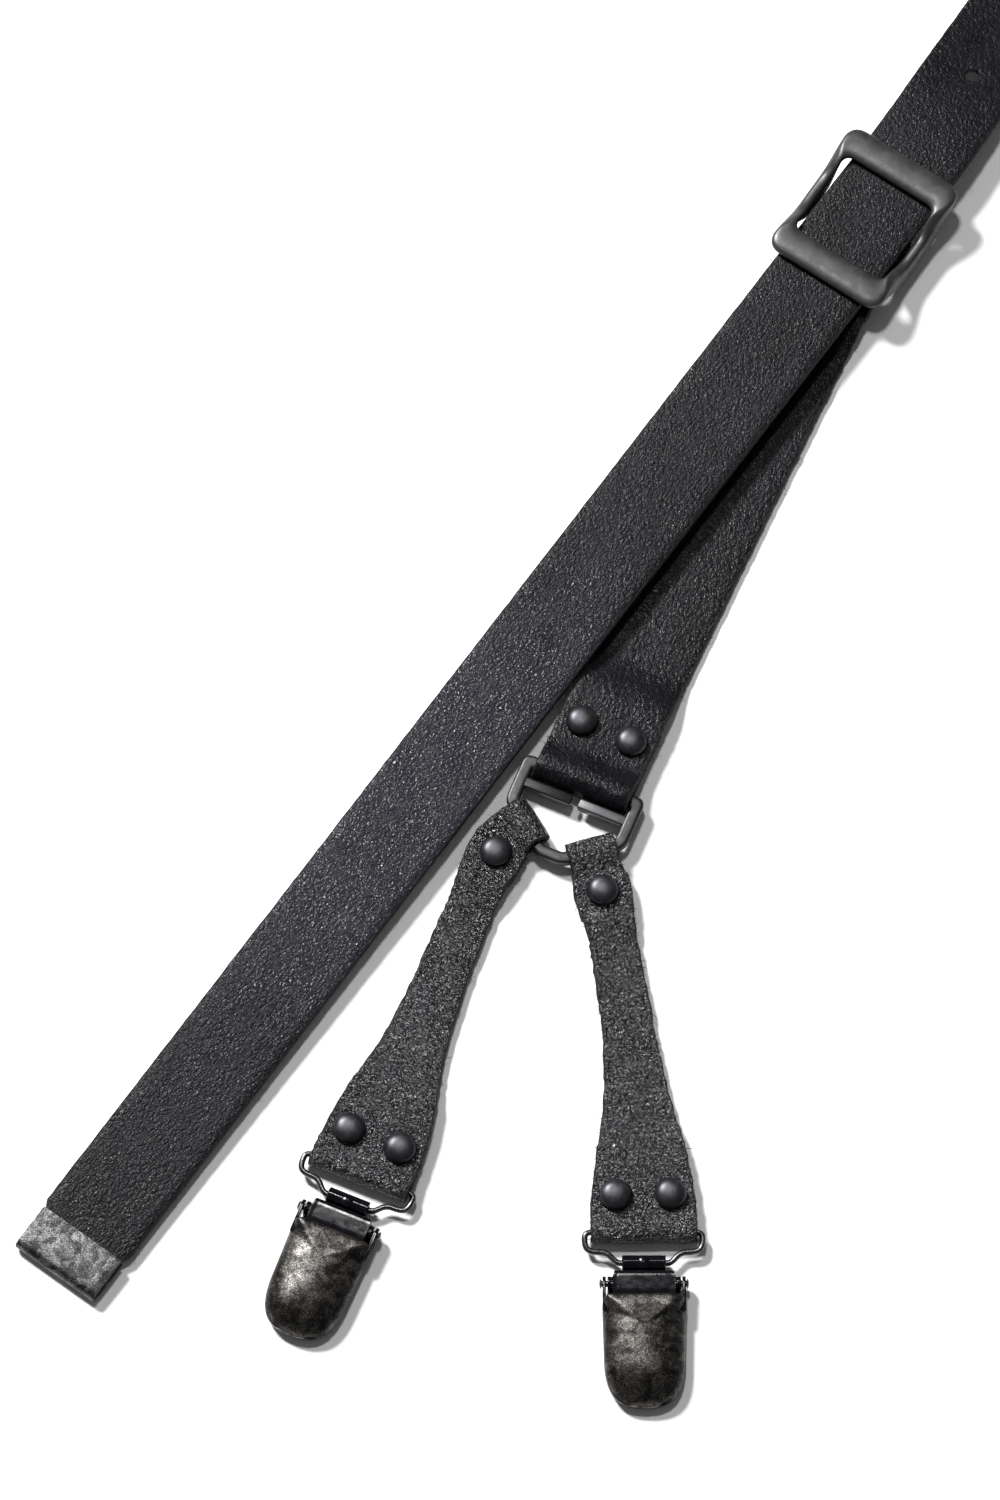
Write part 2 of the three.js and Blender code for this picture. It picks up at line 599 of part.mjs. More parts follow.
/** Outline of the lever's lid, inset all round. */
function lidOutline(inset) {
  const wide = LEVER_HALF_WIDTH - inset;
  const from = LEVER_START + inset;
  const to = LEVER_END - inset;
  const outline = new THREE.Shape();
  outline.moveTo(LEVER_CORNER - wide, from);
  outline.lineTo(wide - LEVER_CORNER, from);
  outline.quadraticCurveTo(wide, from, wide, from + LEVER_CORNER);
  outline.lineTo(wide * 0.93, to - 13);
  outline.bezierCurveTo(wide * 0.86, to - 5, wide * 0.5, to, 0, to);
  outline.bezierCurveTo(-wide * 0.5, to, -wide * 0.86, to - 5, -wide * 0.93, to - 13);
  outline.lineTo(-wide, from + LEVER_CORNER);
  outline.quadraticCurveTo(-wide, from, LEVER_CORNER - wide, from);
  return outline;
}

/** The lever: a domed lid with a skirt, open below, and two ears on the pin. */
function clipLever(name) {
  const dome = (inset, top) => new THREE.ExtrudeGeometry(lidOutline(inset), {
    depth: 6,
    bevelThickness: LEVER_CROWN,
    bevelSize: LEVER_CROWN,
    bevelOffset: -LEVER_CROWN,
    bevelSegments: 2,
    curveSegments: 3,
  }).translate(0, 0, top - LEVER_CROWN - 6);
  const shell = cutBy(dome(0, LEVER_TOP), dome(LEVER_SHEET, LEVER_TOP - LEVER_SHEET));
  const room = new THREE.BoxGeometry(60, 60, 20).translate(0, LEVER_END / 2, LEVER_SKIRT + 10);
  const earIn = PLATE_HALF_WIDTH + EAR_SHEET + JAW_SIDE_ROOM;
  // The jaw runs in under the lid through an arch in the lid's rear wall.
  const archTop = PIN_RISE + PIN_RADIUS + PIN_PLAY + JAW_SHEET + 2 * GAP;
  const archDepth = 3.6;
  const arch = new THREE.BoxGeometry(2 * earIn - 1.2, 2 * archDepth, 20);
  arch.translate(0, LEVER_START, archTop - 10);
  const earShape = new THREE.Shape();
  earShape.moveTo(PIN_AHEAD, PIN_RISE - 1.8);
  earShape.lineTo(LEVER_START + 5, LEVER_SKIRT);
  earShape.lineTo(LEVER_START + 5, LEVER_TOP - LEVER_CROWN);
  earShape.lineTo(PIN_AHEAD, PIN_RISE + 1.8);
  earShape.absarc(PIN_AHEAD, PIN_RISE, 1.8, Math.PI / 2, 1.5 * Math.PI, false);
  const ears = [
    across(earShape, earIn, earIn + EAR_SHEET),
    across(earShape, -earIn - EAR_SHEET, -earIn),
  ];
  const pinHole = rodAcross(PIN_RADIUS + PIN_PLAY, -14, 14, PIN_AHEAD, PIN_RISE);
  const lid = cutBy(keptIn(shell, room), arch);
  return piece(name, cutBy(joined(lid, ...ears), pinHole), ANTIQUE);
}

/** A clip on its wire. Origin on the wire's top bar, y towards the mouth. */
function clip(name) {
  const whole = new THREE.Group();
  whole.add(clipWire(`${name}_wire`));
  const body = frameAt(0, WIRE_REACH, 0, 0);
  body.name = `${name}_frame`;
  body.add(clipPlate(`${name}_plate`), clipPin(`${name}_pin`));
  body.add(clipJaw(`${name}_jaw`), clipLever(`${name}_lever`));
  whole.add(body);
  return whole;
}

// ---------------------------------------------------------------- what hangs on a ring
/** One tab with its rivets and clip. splay and lean are degrees away from the ring's middle. */
function clipTab(name, side, splay, lean, withRivets) {
  const whole = new THREE.Group();
  const outerMiddle = vec(
    (RING_HALF_WIDTH + RING_FOOT_HALF_WIDTH) / 2,
    (RING_SHOULDER + RING_DEPTH) / 2,
  );
  const out = vec(side * Math.sin(SLANT), Math.cos(SLANT));
  const start = vec(side * outerMiddle.x, outerMiddle.y).addScaledVector(out, -RING_BAR / 2);
  const end = start.clone().addScaledVector(leaning(side * splay), TAB_REACH);
  const lay = layBetween(start, out, end, leaning(side * lean), 4, 7, 40);
  const line = tabLine(lay.length);
  const halfWidths = (run) => [tabHalfWidth(run), tabHalfWidth(run)];
  const spots = [
    lay.at(TAB_TOP_RIVET).point,
    lay.beside(lay.length - TAB_LOW_RIVETS, -RIVET_SPACING / 2),
    lay.beside(lay.length - TAB_LOW_RIVETS, RIVET_SPACING / 2),
  ];
  const holes = spots.map(({ x, y }) => drill(RIVET_SHANK_RADIUS + GAP, x, y));
  const leather = strap(line, TAB_THICKNESS, lay, halfWidths);
  whole.add(piece(`${name}_tab`, cutBy(leather, ...holes), LEATHER));
  if (withRivets) {
    spots.forEach(({ x, y }, i) => {
      const mesh = rivet(`${name}_tab_rivet_${i + 1}`, TAB_THICKNESS, RIVET_DOME);
      mesh.position.set(x, y, TAB_LOW);
      whole.add(mesh);
    });
  }
  const hanging = frameAt(end.x, end.y, WIRE_HEIGHT, -side * rad(lean));
  hanging.name = `${name}_wire_frame`;
  hanging.add(clip(`${name}_clip`));
  whole.add(hanging);
  return whole;
}

/** A ring with its two tabs. Origin under the top bar, y towards the clips. */
function hangingSet(name, tabs, withRivets) {
  const whole = new THREE.Group();
  const casting = ring(`${name}_ring`);
  casting.position.z = RING_HEIGHT;
  whole.add(casting);
  for (const { hand, side, splay, lean } of tabs) {
    whole.add(clipTab(`${name}_${hand}`, side, splay, lean, withRivets));
  }
  return whole;
}

// ---------------------------------------------------------------- front straps
/** One front strap with everything on it, in plan coordinates from the yoke point. */
function frontStrap(name, withRivets) {
  const whole = new THREE.Group();
  const up = leaning(FRONT_STRAP_LEAN);
  const tailUp = leaning(TAIL_LEAN);
  const bend = up.clone().multiplyScalar(BEND_AHEAD - FRONT_STRAP_LENGTH);
  const middle = bend.clone().addScaledVector(tailUp, -BEND_AHEAD);
  const bendHalf = 6;
  const bendCurve = new THREE.QuadraticBezierCurve(
    bend.clone().addScaledVector(tailUp, -bendHalf),
    bend,
    bend.clone().addScaledVector(up, bendHalf),
  );
  const tailEnd = -TAIL_LENGTH + TIP_HEIGHT;
  const toBend = BEND_AHEAD - bendHalf;
  const lay = new Lay(bendCurve, toBend); // the run is 0 at the middle of the buckle
  const yokeRun = toBend + lay.curveLength + FRONT_STRAP_LENGTH - BEND_AHEAD - bendHalf;
  const end = yokeRun - YOKE_STOP;
  const rise = Math.tan(TAIL_SLOPE);
  const path = new THREE.Path();
  const tailHeight = (run) => MAIN_HEIGHT + rise * run;
  const tipMouth = tailEnd + TIP_LENGTH - TIP_HEIGHT; // the strap widens just outside the tip
  path.moveTo(tailEnd, tailHeight(tailEnd));
  path.lineTo(tipMouth + 0.5, tailHeight(tipMouth + 0.5));
  path.lineTo(tipMouth + 1.5, tailHeight(tipMouth + 1.5));
  path.lineTo(toBend, tailHeight(toBend));
  const crest = tailHeight(toBend) + 0.4;
  path.bezierCurveTo(toBend + 30, crest, toBend + 40, FLAT_HEIGHT, toBend + 80, FLAT_HEIGHT);
  path.lineTo(yokeRun - 95, FLAT_HEIGHT);
  path.bezierCurveTo(yokeRun - 85, FLAT_HEIGHT, yokeRun - 80, YOKE_LAYER, yokeRun - 68, YOKE_LAYER);
  const mitreRun = yokeRun - (STRAP_WIDTH / 2 + GAP / 2) / Math.tan(rad(FRONT_STRAP_LEAN));
  path.lineTo(mitreRun, YOKE_LAYER);
  path.lineTo(end, YOKE_LAYER);
  const halfWidths = (run) => {
    if (run < tipMouth + 1) return [TIP_WIDTH / 2 - GAP, TIP_WIDTH / 2 - GAP];
    const room = (yokeRun - run) * Math.tan(rad(FRONT_STRAP_LEAN)) - GAP / 2;
    return [Math.min(STRAP_WIDTH / 2, room), STRAP_WIDTH / 2];
  };
  const leather = strap(middleLine(path, 30), STRAP_THICKNESS, lay, halfWidths);
  const hole = lay.at(STRAP_HOLE_AHEAD).point;
  const punched = cutBy(leather, drill(STRAP_HOLE_RADIUS, hole.x, hole.y));
  whole.add(piece(`${name}_strap`, punched, LEATHER));

  const tipPlace = lay.at(tailEnd).point;
  const tipTurn = -rad(TAIL_LEAN);
  const tipFrame = frameAt(tipPlace.x, tipPlace.y, tailHeight(tailEnd), tipTurn, TAIL_SLOPE);
  tipFrame.add(strapTip(`${name}_strap_tip`));
  whole.add(tipFrame);

  const buckleFrame = frameAt(middle.x, middle.y, 0, -rad(BUCKLE_LEAN), TAIL_SLOPE);
  buckleFrame.name = `${name}_buckle_frame`;
  buckleFrame.add(buckle(`${name}_buckle`));
  whole.add(buckleFrame);

  addRingStrap(whole, name, middle, withRivets);
  return whole;
}

/** The short strap from the buckle's centre bar to the ring, with the ring and its tabs. */
function addRingStrap(whole, name, middle, withRivets) {
  const ringPlace = middle.clone().addScaledVector(leaning(RING_STRAP_LEAN), -RING_STRAP_REACH);
  const atBuckle = leaning(BUCKLE_LEAN).negate();
  const atRing = leaning(RING_LEAN).negate();
  const lay = layBetween(middle, atBuckle, ringPlace, atRing, 5, 14, 14);
  const radius = CENTRE_BAR_RADIUS + GAP + STRAP_THICKNESS / 2;
  const path = new THREE.Path();
  path.moveTo(BUCKLE_FOLD_BACK, STRAP_LOW);
  path.lineTo(FOLD_EASE, STRAP_LOW);
  path.lineTo(0, BAR_HEIGHT - radius);
  path.absarc(0, BAR_HEIGHT, radius, -Math.PI / 2, Math.PI / 2, true);
  path.bezierCurveTo(3, BAR_HEIGHT + radius, 5, STRAP_HIGH, FOLD_EASE, STRAP_HIGH);
  path.lineTo(BUCKLE_FOLD_BACK + 1, STRAP_HIGH);
  path.bezierCurveTo(28, STRAP_HIGH, 30, FLAT_HEIGHT, 36, FLAT_HEIGHT);
  foldOverRing(path, lay.length);
  const ringRun = lay.length - RING_RIVETS;
  const spots = [
    lay.beside(BUCKLE_RIVETS, -RIVET_SPACING / 2),
    lay.beside(BUCKLE_RIVETS, RIVET_SPACING / 2),
    lay.beside(ringRun, -RIVET_SPACING / 2),
    lay.beside(ringRun, RIVET_SPACING / 2),
  ];
  const holes = spots.map(({ x, y }) => drill(RIVET_SHANK_RADIUS + GAP, x, y));
  const leather = strap(middleLine(path, 20), STRAP_THICKNESS, lay, evenWidth);
  whole.add(piece(`${name}_ring_strap`, cutBy(leather, ...holes), LEATHER));
  if (withRivets) {
    const domes = [RIVET_LOW_DOME, RIVET_LOW_DOME, RIVET_DOME, RIVET_DOME];
    spots.forEach(({ x, y }, i) => {
      const mesh = rivet(`${name}_ring_strap_rivet_${i + 1}`, STRAP_THICKNESS, domes[i]);
      mesh.position.set(x, y, STRAP_LOW);
      whole.add(mesh);
    });
  }
  const hanging = frameAt(ringPlace.x, ringPlace.y, 0, Math.PI - rad(RING_LEAN));
  hanging.name = `${name}_ring_frame`;
  const tabs = [
    { hand: 'outer', side: 1, splay: 1.4, lean: -0.5 },
    { hand: 'inner', side: -1, splay: 30, lean: 23 },
  ];
  hanging.add(hangingSet(name, tabs, withRivets));
  whole.add(hanging);
}

// ---------------------------------------------------------------- yoke and back strap
function yokePlate(name, height) {
  const outline = new THREE.Shape();
  const corners = [
    vec(-YOKE_FOOT_HALF_WIDTH, -YOKE_FOOT),
    vec(YOKE_FOOT_HALF_WIDTH, -YOKE_FOOT),
    vec(YOKE_HEAD_HALF_WIDTH, YOKE_HEAD),
    vec(-YOKE_HEAD_HALF_WIDTH, YOKE_HEAD),
  ];
  roundedLoop(outline, corners, YOKE_CORNER);
  const sheet = { depth: YOKE_THICKNESS, bevelEnabled: false, curveSegments: 5 };
  return piece(name, new THREE.ExtrudeGeometry(outline, sheet).translate(0, 0, height), LEATHER);
}

function backStrap(name) {
  const lean = rad(FRONT_STRAP_LEAN);
  const start = STRAP_WIDTH / 2 * Math.sin(lean) - YOKE_STOP * Math.cos(lean) + GAP;
  const lay = new Lay(new THREE.LineCurve(vec(0, 0), vec(0, BACK_STRAP_LENGTH)), 0);
  const path = new THREE.Path();
  path.moveTo(start, YOKE_LAYER);
  path.lineTo(YOKE_HEAD + 3, YOKE_LAYER);
  path.bezierCurveTo(YOKE_HEAD + 12, YOKE_LAYER, YOKE_HEAD + 14, FLAT_HEIGHT, YOKE_HEAD + 24, FLAT_HEIGHT);
  foldOverRing(path, BACK_STRAP_LENGTH);
  const run = BACK_STRAP_LENGTH - RING_RIVETS;
  const holes = [-1, 1].map((side) => drill(RIVET_SHANK_RADIUS + GAP, side * RIVET_SPACING / 2, run));
  const leather = strap(middleLine(path, 20), STRAP_THICKNESS, lay, evenWidth);
  return piece(name, cutBy(leather, ...holes), LEATHER);
}

// ---------------------------------------------------------------- the whole
const suspenders = new THREE.Group();
const leftFront = frontStrap('left', true);
const rightFront = frontStrap('right', false);
rightFront.scale.x = -1;
suspenders.add(leftFront, rightFront);
suspenders.add(yokePlate('yoke_back_plate', 0));
suspenders.add(yokePlate('yoke_front_plate', YOKE_LAYER + STRAP_THICKNESS / 2 + GAP));
suspenders.add(backStrap('back_strap'));
const backHanging = frameAt(0, BACK_STRAP_LENGTH, 0, 0);
backHanging.name = 'back_ring_frame';
const backTabs = [
  { hand: 'right', side: 1, splay: 16, lean: 14 },
  { hand: 'left', side: -1, splay: 16, lean: 14 },
];
backHanging.add(hangingSet('back', backTabs, false));
suspenders.add(backHanging);

// The origin is under the middle of the whole, on the surface that it lies on.
const bounds = new THREE.Box3().setFromObject(suspenders, true);
const centre = bounds.getCenter(new THREE.Vector3());
suspenders.position.set(-centre.x, -centre.y, -bounds.min.z);
suspenders.updateMatrixWorld(true);

export default suspenders;
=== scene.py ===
"""Looks for a pair of leather clip suspenders laid out flat.

Lengths are in millimetres until a mesh is made."""

import math
import random

import bmesh
import bpy
import numpy as np
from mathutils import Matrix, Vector, noise


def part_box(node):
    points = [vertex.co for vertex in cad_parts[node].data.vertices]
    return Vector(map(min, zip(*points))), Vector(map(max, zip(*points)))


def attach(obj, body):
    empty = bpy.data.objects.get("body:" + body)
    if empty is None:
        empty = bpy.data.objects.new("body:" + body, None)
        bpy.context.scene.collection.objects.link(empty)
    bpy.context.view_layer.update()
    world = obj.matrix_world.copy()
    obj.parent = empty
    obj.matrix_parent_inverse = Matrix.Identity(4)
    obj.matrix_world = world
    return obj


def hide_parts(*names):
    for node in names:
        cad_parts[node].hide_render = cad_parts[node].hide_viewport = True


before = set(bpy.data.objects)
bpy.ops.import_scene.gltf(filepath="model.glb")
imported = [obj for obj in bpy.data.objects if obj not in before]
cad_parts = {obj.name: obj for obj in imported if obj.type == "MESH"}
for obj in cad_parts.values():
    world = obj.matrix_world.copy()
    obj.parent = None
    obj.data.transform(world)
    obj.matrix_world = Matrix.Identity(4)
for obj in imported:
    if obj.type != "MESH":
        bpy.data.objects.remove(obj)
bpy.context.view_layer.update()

MM = 0.001
GAP = 0.3
rad = math.radians

# ------------------------------------------------------------------ sizes, as in the CAD part
FRONT_STRAP_LENGTH, FRONT_STRAP_LEAN = 485.0, 16.7
TAIL_LEAN, TAIL_LENGTH, BUCKLE_LEAN, BEND_AHEAD = 20.8, 338.5, 19.0, 28.0
RING_LEAN, RING_STRAP_REACH, RING_STRAP_LEAN = 7.5, 165.0, 10.2
BACK_STRAP_LENGTH = 150.0
STRAP_WIDTH, STRAP_THICKNESS = 25.0, 2.0
TAB_THICKNESS, TAB_REACH = 1.6, 97.4
TAB_WIDTHS = [[3.5, 12], [9, 14.8], [22, 11.8], [48, 13], [64, 16], [78, 22], [88, 25.2],
              [95, 25.6]]
STRAP_HOLE_RADIUS, STRAP_HOLE_AHEAD = 1.9, 50.0
YOKE_THICKNESS, YOKE_FOOT, YOKE_HEAD = 1.8, 58.0, 34.0
YOKE_FOOT_HALF, YOKE_HEAD_HALF, YOKE_CORNER, YOKE_STOP = 36.0, 17.0, 9.0, 12.0
TIP_SHEET, TIP_WIDTH, TIP_LENGTH = 0.7, 23.5, 11.8
BUCKLE_HALF_LENGTH, BUCKLE_END_BAR, BUCKLE_BAR_HEIGHT = 20.0, 8.0, 2.8
BUCKLE_RAIL, BUCKLE_SIDE_ROOM, CENTRE_BAR_RADIUS = 3.2, 0.95, 1.1
RING_HALF, RING_THICKNESS, RING_BAR, TOP_BAR_RADIUS = 16.1, 2.8, 3.2, 1.5
CROSSBAR_DOWN, CROSSBAR, CROSSBAR_SPLIT = 4.3, 2.6, 2.2
RING_SHOULDER, RING_DEPTH, RING_FOOT_HALF, RING_CORNER = 12.0, 22.1, 3.5, 2.4
RIVET_CAP, RIVET_DOME, RIVET_LOW_DOME, RIVET_FOOT_RADIUS, RIVET_FOOT = 4.0, 2.1, 0.9, 3.6, 0.5
RIVET_SPACING, TAB_TOP_RIVET, TAB_LOW_RIVETS = 13.3, 10.5, 9.0
RING_RIVETS, RING_FOLD_BACK, BUCKLE_RIVETS = 14.2, 19.5, 14.0
WIRE_RADIUS, WIRE_HALF, WIRE_REACH, WIRE_CORNER = 0.75, 14.25, 7.7, 1.5
ROLL_RADIUS, ROLL_HALF, PLATE_SHEET, PLATE_HALF, PLATE_END = 1.9, 5.25, 1.0, 8.0, 32.0
EAR_SHEET, PIN_RADIUS, PIN_AHEAD, PIN_RISE, PIN_PLAY = 0.8, 0.8, 5.4, 0.9, 0.2
JAW_SHEET, JAW_SIDE_ROOM, JAW_END, JAW_CORNER = 0.9, 0.4, 29.0, 7.0
LEVER_HALF, LEVER_START, LEVER_END = 10.1, 8.4, 36.0
LEVER_TOP, LEVER_SKIRT, LEVER_CORNER = 4.9, -0.9, 5.0

BAR_HEIGHT = STRAP_THICKNESS + GAP + CENTRE_BAR_RADIUS
MAIN_HEIGHT = BAR_HEIGHT + CENTRE_BAR_RADIUS + 2 * GAP + 1.5 * STRAP_THICKNESS
END_BAR_UNDER = MAIN_HEIGHT + STRAP_THICKNESS / 2 + GAP
TIP_HEIGHT = TIP_SHEET + GAP + STRAP_THICKNESS / 2
TAIL_SLOPE = math.atan((MAIN_HEIGHT - TIP_HEIGHT) / TAIL_LENGTH)
FLAT_HEIGHT = STRAP_THICKNESS / 2
YOKE_LAYER = YOKE_THICKNESS + GAP + STRAP_THICKNESS / 2
RING_HEIGHT = STRAP_THICKNESS + GAP + TOP_BAR_RADIUS
WIRE_HEIGHT = TAB_THICKNESS + GAP + WIRE_RADIUS + 0.05
RIVET_ROOM = RIVET_FOOT + 2 * GAP
STRAP_LOW = RIVET_ROOM - GAP / 2 + STRAP_THICKNESS / 2
STRAP_HIGH = STRAP_LOW + STRAP_THICKNESS + GAP
TAB_LOW = RIVET_ROOM + TAB_THICKNESS / 2
TAB_HIGH = TAB_LOW + TAB_THICKNESS + GAP
SLANT = math.atan2(RING_DEPTH - RING_SHOULDER, RING_HALF - RING_FOOT_HALF)
YOKE_POINT = np.array([0.0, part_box("yoke_back_plate")[1].y / MM - YOKE_HEAD])

# ------------------------------------------------------------------ sizes that only the looks use
LID_SHEET, STITCH_PITCH, TOP_COLUMNS = 0.75, 3.6, 11
# radius and depth of the dent that a rivet or the hole presses into the leather
TAB_DENT, STRAP_DENT, HOLE_DENT = (5.4, 0.5), (5.5, 0.35), (3.2, 0.3)
# from below the floor to above the strap
HOLE_CUT = (-5, 15)
FIBRE_LENGTHS = [0.5, 0.6, 0.8, 1.1, 2.0]
# name, side, and how far the tab's end and its clip turn outwards, in degrees
FRONT_TABS = [("outer", 1, 1.4, -0.5), ("inner", -1, 30, 23)]
BACK_TABS = [("right", 1, 16, 14), ("left", -1, 16, 14)]


# ------------------------------------------------------------------ curves in the plane
def leaning(degrees):
    return np.array([math.sin(rad(degrees)), math.cos(rad(degrees))])


def bezier(points, count):
    """Points of a Bezier curve of any degree."""
    points, t = [np.array(p, float) for p in points], np.linspace(0, 1, count)[:, None]
    degree = len(points) - 1
    shares = [math.comb(degree, i) * (1 - t) ** (degree - i) * t**i for i in range(len(points))]
    return sum(share * p for share, p in zip(shares, points))


def eased(places, start, end, count=8):
    """A step from one height to another, with its handles at four places along."""
    a, b, c, d = places
    return bezier([(a, start), (b, start), (c, end), (d, end)], count)


def arc(centre, radius, start, end, count):
    angle = np.linspace(start, end, count)
    return np.stack([centre[0] + radius * np.cos(angle), centre[1] + radius * np.sin(angle)], 1)


def even(points, step):
    """The same line with points at most a step apart."""
    points = np.array(points, float)
    keep = [0]
    for i in range(1, len(points)):
        if np.linalg.norm(points[i] - points[keep[-1]]) > 0.05:
            keep.append(i)
    points = points[keep]
    made = [points[0]]
    for a, b in zip(points[:-1], points[1:]):
        pieces = max(1, math.ceil(np.linalg.norm(b - a) / step))
        made += [a + (b - a) * (i + 1) / pieces for i in range(pieces)]
    return np.array(made)


class Lay:
    """Where a strap lies in plan: a curve with straight leads at both ends."""

    def __init__(self, curve, lead):
        self.curve, self.lead = np.array(curve, float), lead
        steps = np.linalg.norm(np.diff(self.curve, axis=0), axis=1)
        self.runs = np.concatenate([[0], np.cumsum(steps)])
        self.length = self.runs[-1] + 2 * lead
        slopes = np.gradient(self.curve, self.runs, axis=0)
        self.slopes = slopes / np.linalg.norm(slopes, axis=1)[:, None]

    def at(self, run):
        run = np.asarray(run, float) - self.lead
        inside = np.clip(run, 0, self.runs[-1])
        point = np.stack([np.interp(inside, self.runs, self.curve[:, i]) for i in (0, 1)], -1)
        along = np.stack([np.interp(inside, self.runs, self.slopes[:, i]) for i in (0, 1)], -1)
        along /= np.linalg.norm(along, axis=-1, keepdims=True)
        return point + along * (run - inside)[..., None], along

    def beside(self, run, offset):
        point, along = self.at(run)
        across = np.stack([along[..., 1], -along[..., 0]], -1)
        return point + across * np.asarray(offset, float)[..., None]


def lay_between(start, out, end, towards, lead, start_handle, end_handle):
    a, b = start + out * lead, end - towards * lead
    return Lay(bezier([a, a + out * start_handle, b - towards * end_handle, b], 60), lead)


def rounded(corners, reach, count=6, edge=1):
    """A closed loop through corners rounded by the same length.

    Each corner has count points and each side has edge points between its corners."""
    corners = [np.array(c, float) for c in corners]
    made = []
    for i, c in enumerate(corners):
        before, after = corners[i - 1], corners[(i + 1) % len(corners)]
        cut = min(reach, np.linalg.norm(c - before) / 2.05, np.linalg.norm(c - after) / 2.05)
        start = c + (before - c) / np.linalg.norm(before - c) * cut
        end = c + (after - c) / np.linalg.norm(after - c) * cut
        made.append(bezier([start, c, end], count))
    loop = []
    for i, corner in enumerate(made):
        nxt = made[(i + 1) % len(made)][0]
        loop += list(corner)
        loop += [corner[-1] + (nxt - corner[-1]) * k / (edge + 1) for k in range(1, edge + 1)]
    return np.array(loop)


# ------------------------------------------------------------------ meshes
class Shape:
    """Vertices in millimetres, faces, a material number per face and a map place per vertex."""

    def __init__(self):
        self.points, self.faces, self.kinds, self.flat = [], [], [], []

    def add(self, points, faces, kinds=0, flat=None):
        first = len(self.points)
        self.points += [tuple(p) for p in points]
        self.flat += [tuple(f)
                      for f in (flat if flat is not None else [(p[0], p[1]) for p in points])]
        self.faces += [[first + i for i in f] for f in faces]
        self.kinds += [kinds] * len(faces) if isinstance(kinds, int) else list(kinds)
        return first

    def grid(self, rows, caps=True, kinds=None, flat=None):
        """Rings of points joined into a tube, with its ends filled if caps is true."""
        rows = np.array(rows, float)
        n, m = rows.shape[:2]
        faces, marks = [], []
        for i in range(n - 1):
            for k in range(m):
                o = (k + 1) % m
                faces.append([i * m + k, i * m + o, (i + 1) * m + o, (i + 1) * m + k])
                marks.append(kinds[k] if kinds is not None else 0)
        if caps:
            faces += [list(range(m))[::-1], [(n - 1) * m + k for k in range(m)]]
            marks += [kinds[m // 2] if kinds is not None else 0] * 2
        self.add(rows.reshape(-1, 3), faces, marks,
                 None if flat is None else np.array(flat).reshape(-1, 2))

    def moved(self, origin, x, y, z):
        """Places the points: x, y and z are the directions of the piece's own axes."""
        p = np.array(self.points, float)
        x, y, z = np.array(x), np.array(y), np.array(z)
        p = np.array(origin) + p[:, :1] * x + p[:, 1:2] * y + p[:, 2:] * z
        self.points = [tuple(q) for q in p]
        return self


def build(name, shape, materials, body, node=None, slot=None, mirror=False, smooth=40.0,
          thickness=0.0):
    """Makes a piece in the row frame, rides it on its body and lets it stand for its CAD node."""
    points = np.array(shape.points, float) * MM
    if mirror:
        points[:, 0] *= -1
    mesh = bpy.data.meshes.new(name)
    mesh.from_pydata(points.tolist(), [], shape.faces)
    for m in materials:
        mesh.materials.append(m)
    mesh.polygons.foreach_set("material_index", shape.kinds)
    mesh.polygons.foreach_set("use_smooth", [True] * len(shape.faces))
    layer = mesh.uv_layers.new(name="flat")
    flat = np.array(shape.flat, float) * 0.1
    index = np.zeros(len(mesh.loops), int)
    mesh.loops.foreach_get("vertex_index", index)
    layer.data.foreach_set("uv", flat[index].ravel())
    work = bmesh.new()
    work.from_mesh(mesh)
    bmesh.ops.recalc_face_normals(work, faces=work.faces)
    work.to_mesh(mesh)
    work.free()
    mesh.set_sharp_from_angle(angle=rad(smooth))
    piece = bpy.data.objects.new(name, mesh)
    bpy.context.scene.collection.objects.link(piece)
    if thickness:
        shell = piece.modifiers.new("sheet", "SOLIDIFY")
        shell.thickness, shell.offset, shell.use_even_offset = thickness * MM, -1, False
    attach(piece, body)
    if node:
        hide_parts(node)
    return piece


# ------------------------------------------------------------------ leather
def section(thickness, round_off):
    """A strap's outline as (share of the half width, inset from the edge, height, kind)."""
    half, rows = thickness / 2, []
    for share in np.linspace(-1, 1, TOP_COLUMNS)[1:-1]:
        rows.append((share, 0.0, half, 0))
    for angle in (80, 50, 20):
        rows.append((1, round_off * (1 - math.cos(rad(angle))),
                     half - round_off * (1 - math.sin(rad(angle))), 1))
    rows.append((1, 0.0, 0.0, 1))
    rows.append((1, 0.1, -half + 0.15, 1))
    for share in np.linspace(1, -1, 5):
        rows.append((share, 0.25 if abs(share) == 1 else 0.0, -half, 2))
    rows.append((-1, 0.1, -half + 0.15, 1))
    rows.append((-1, 0.0, 0.0, 1))
    for angle in (20, 50, 80):
        rows.append((-1, round_off * (1 - math.cos(rad(angle))),
                     half - round_off * (1 - math.sin(rad(angle))),
                     0 if angle == 80 else 1))
    return rows


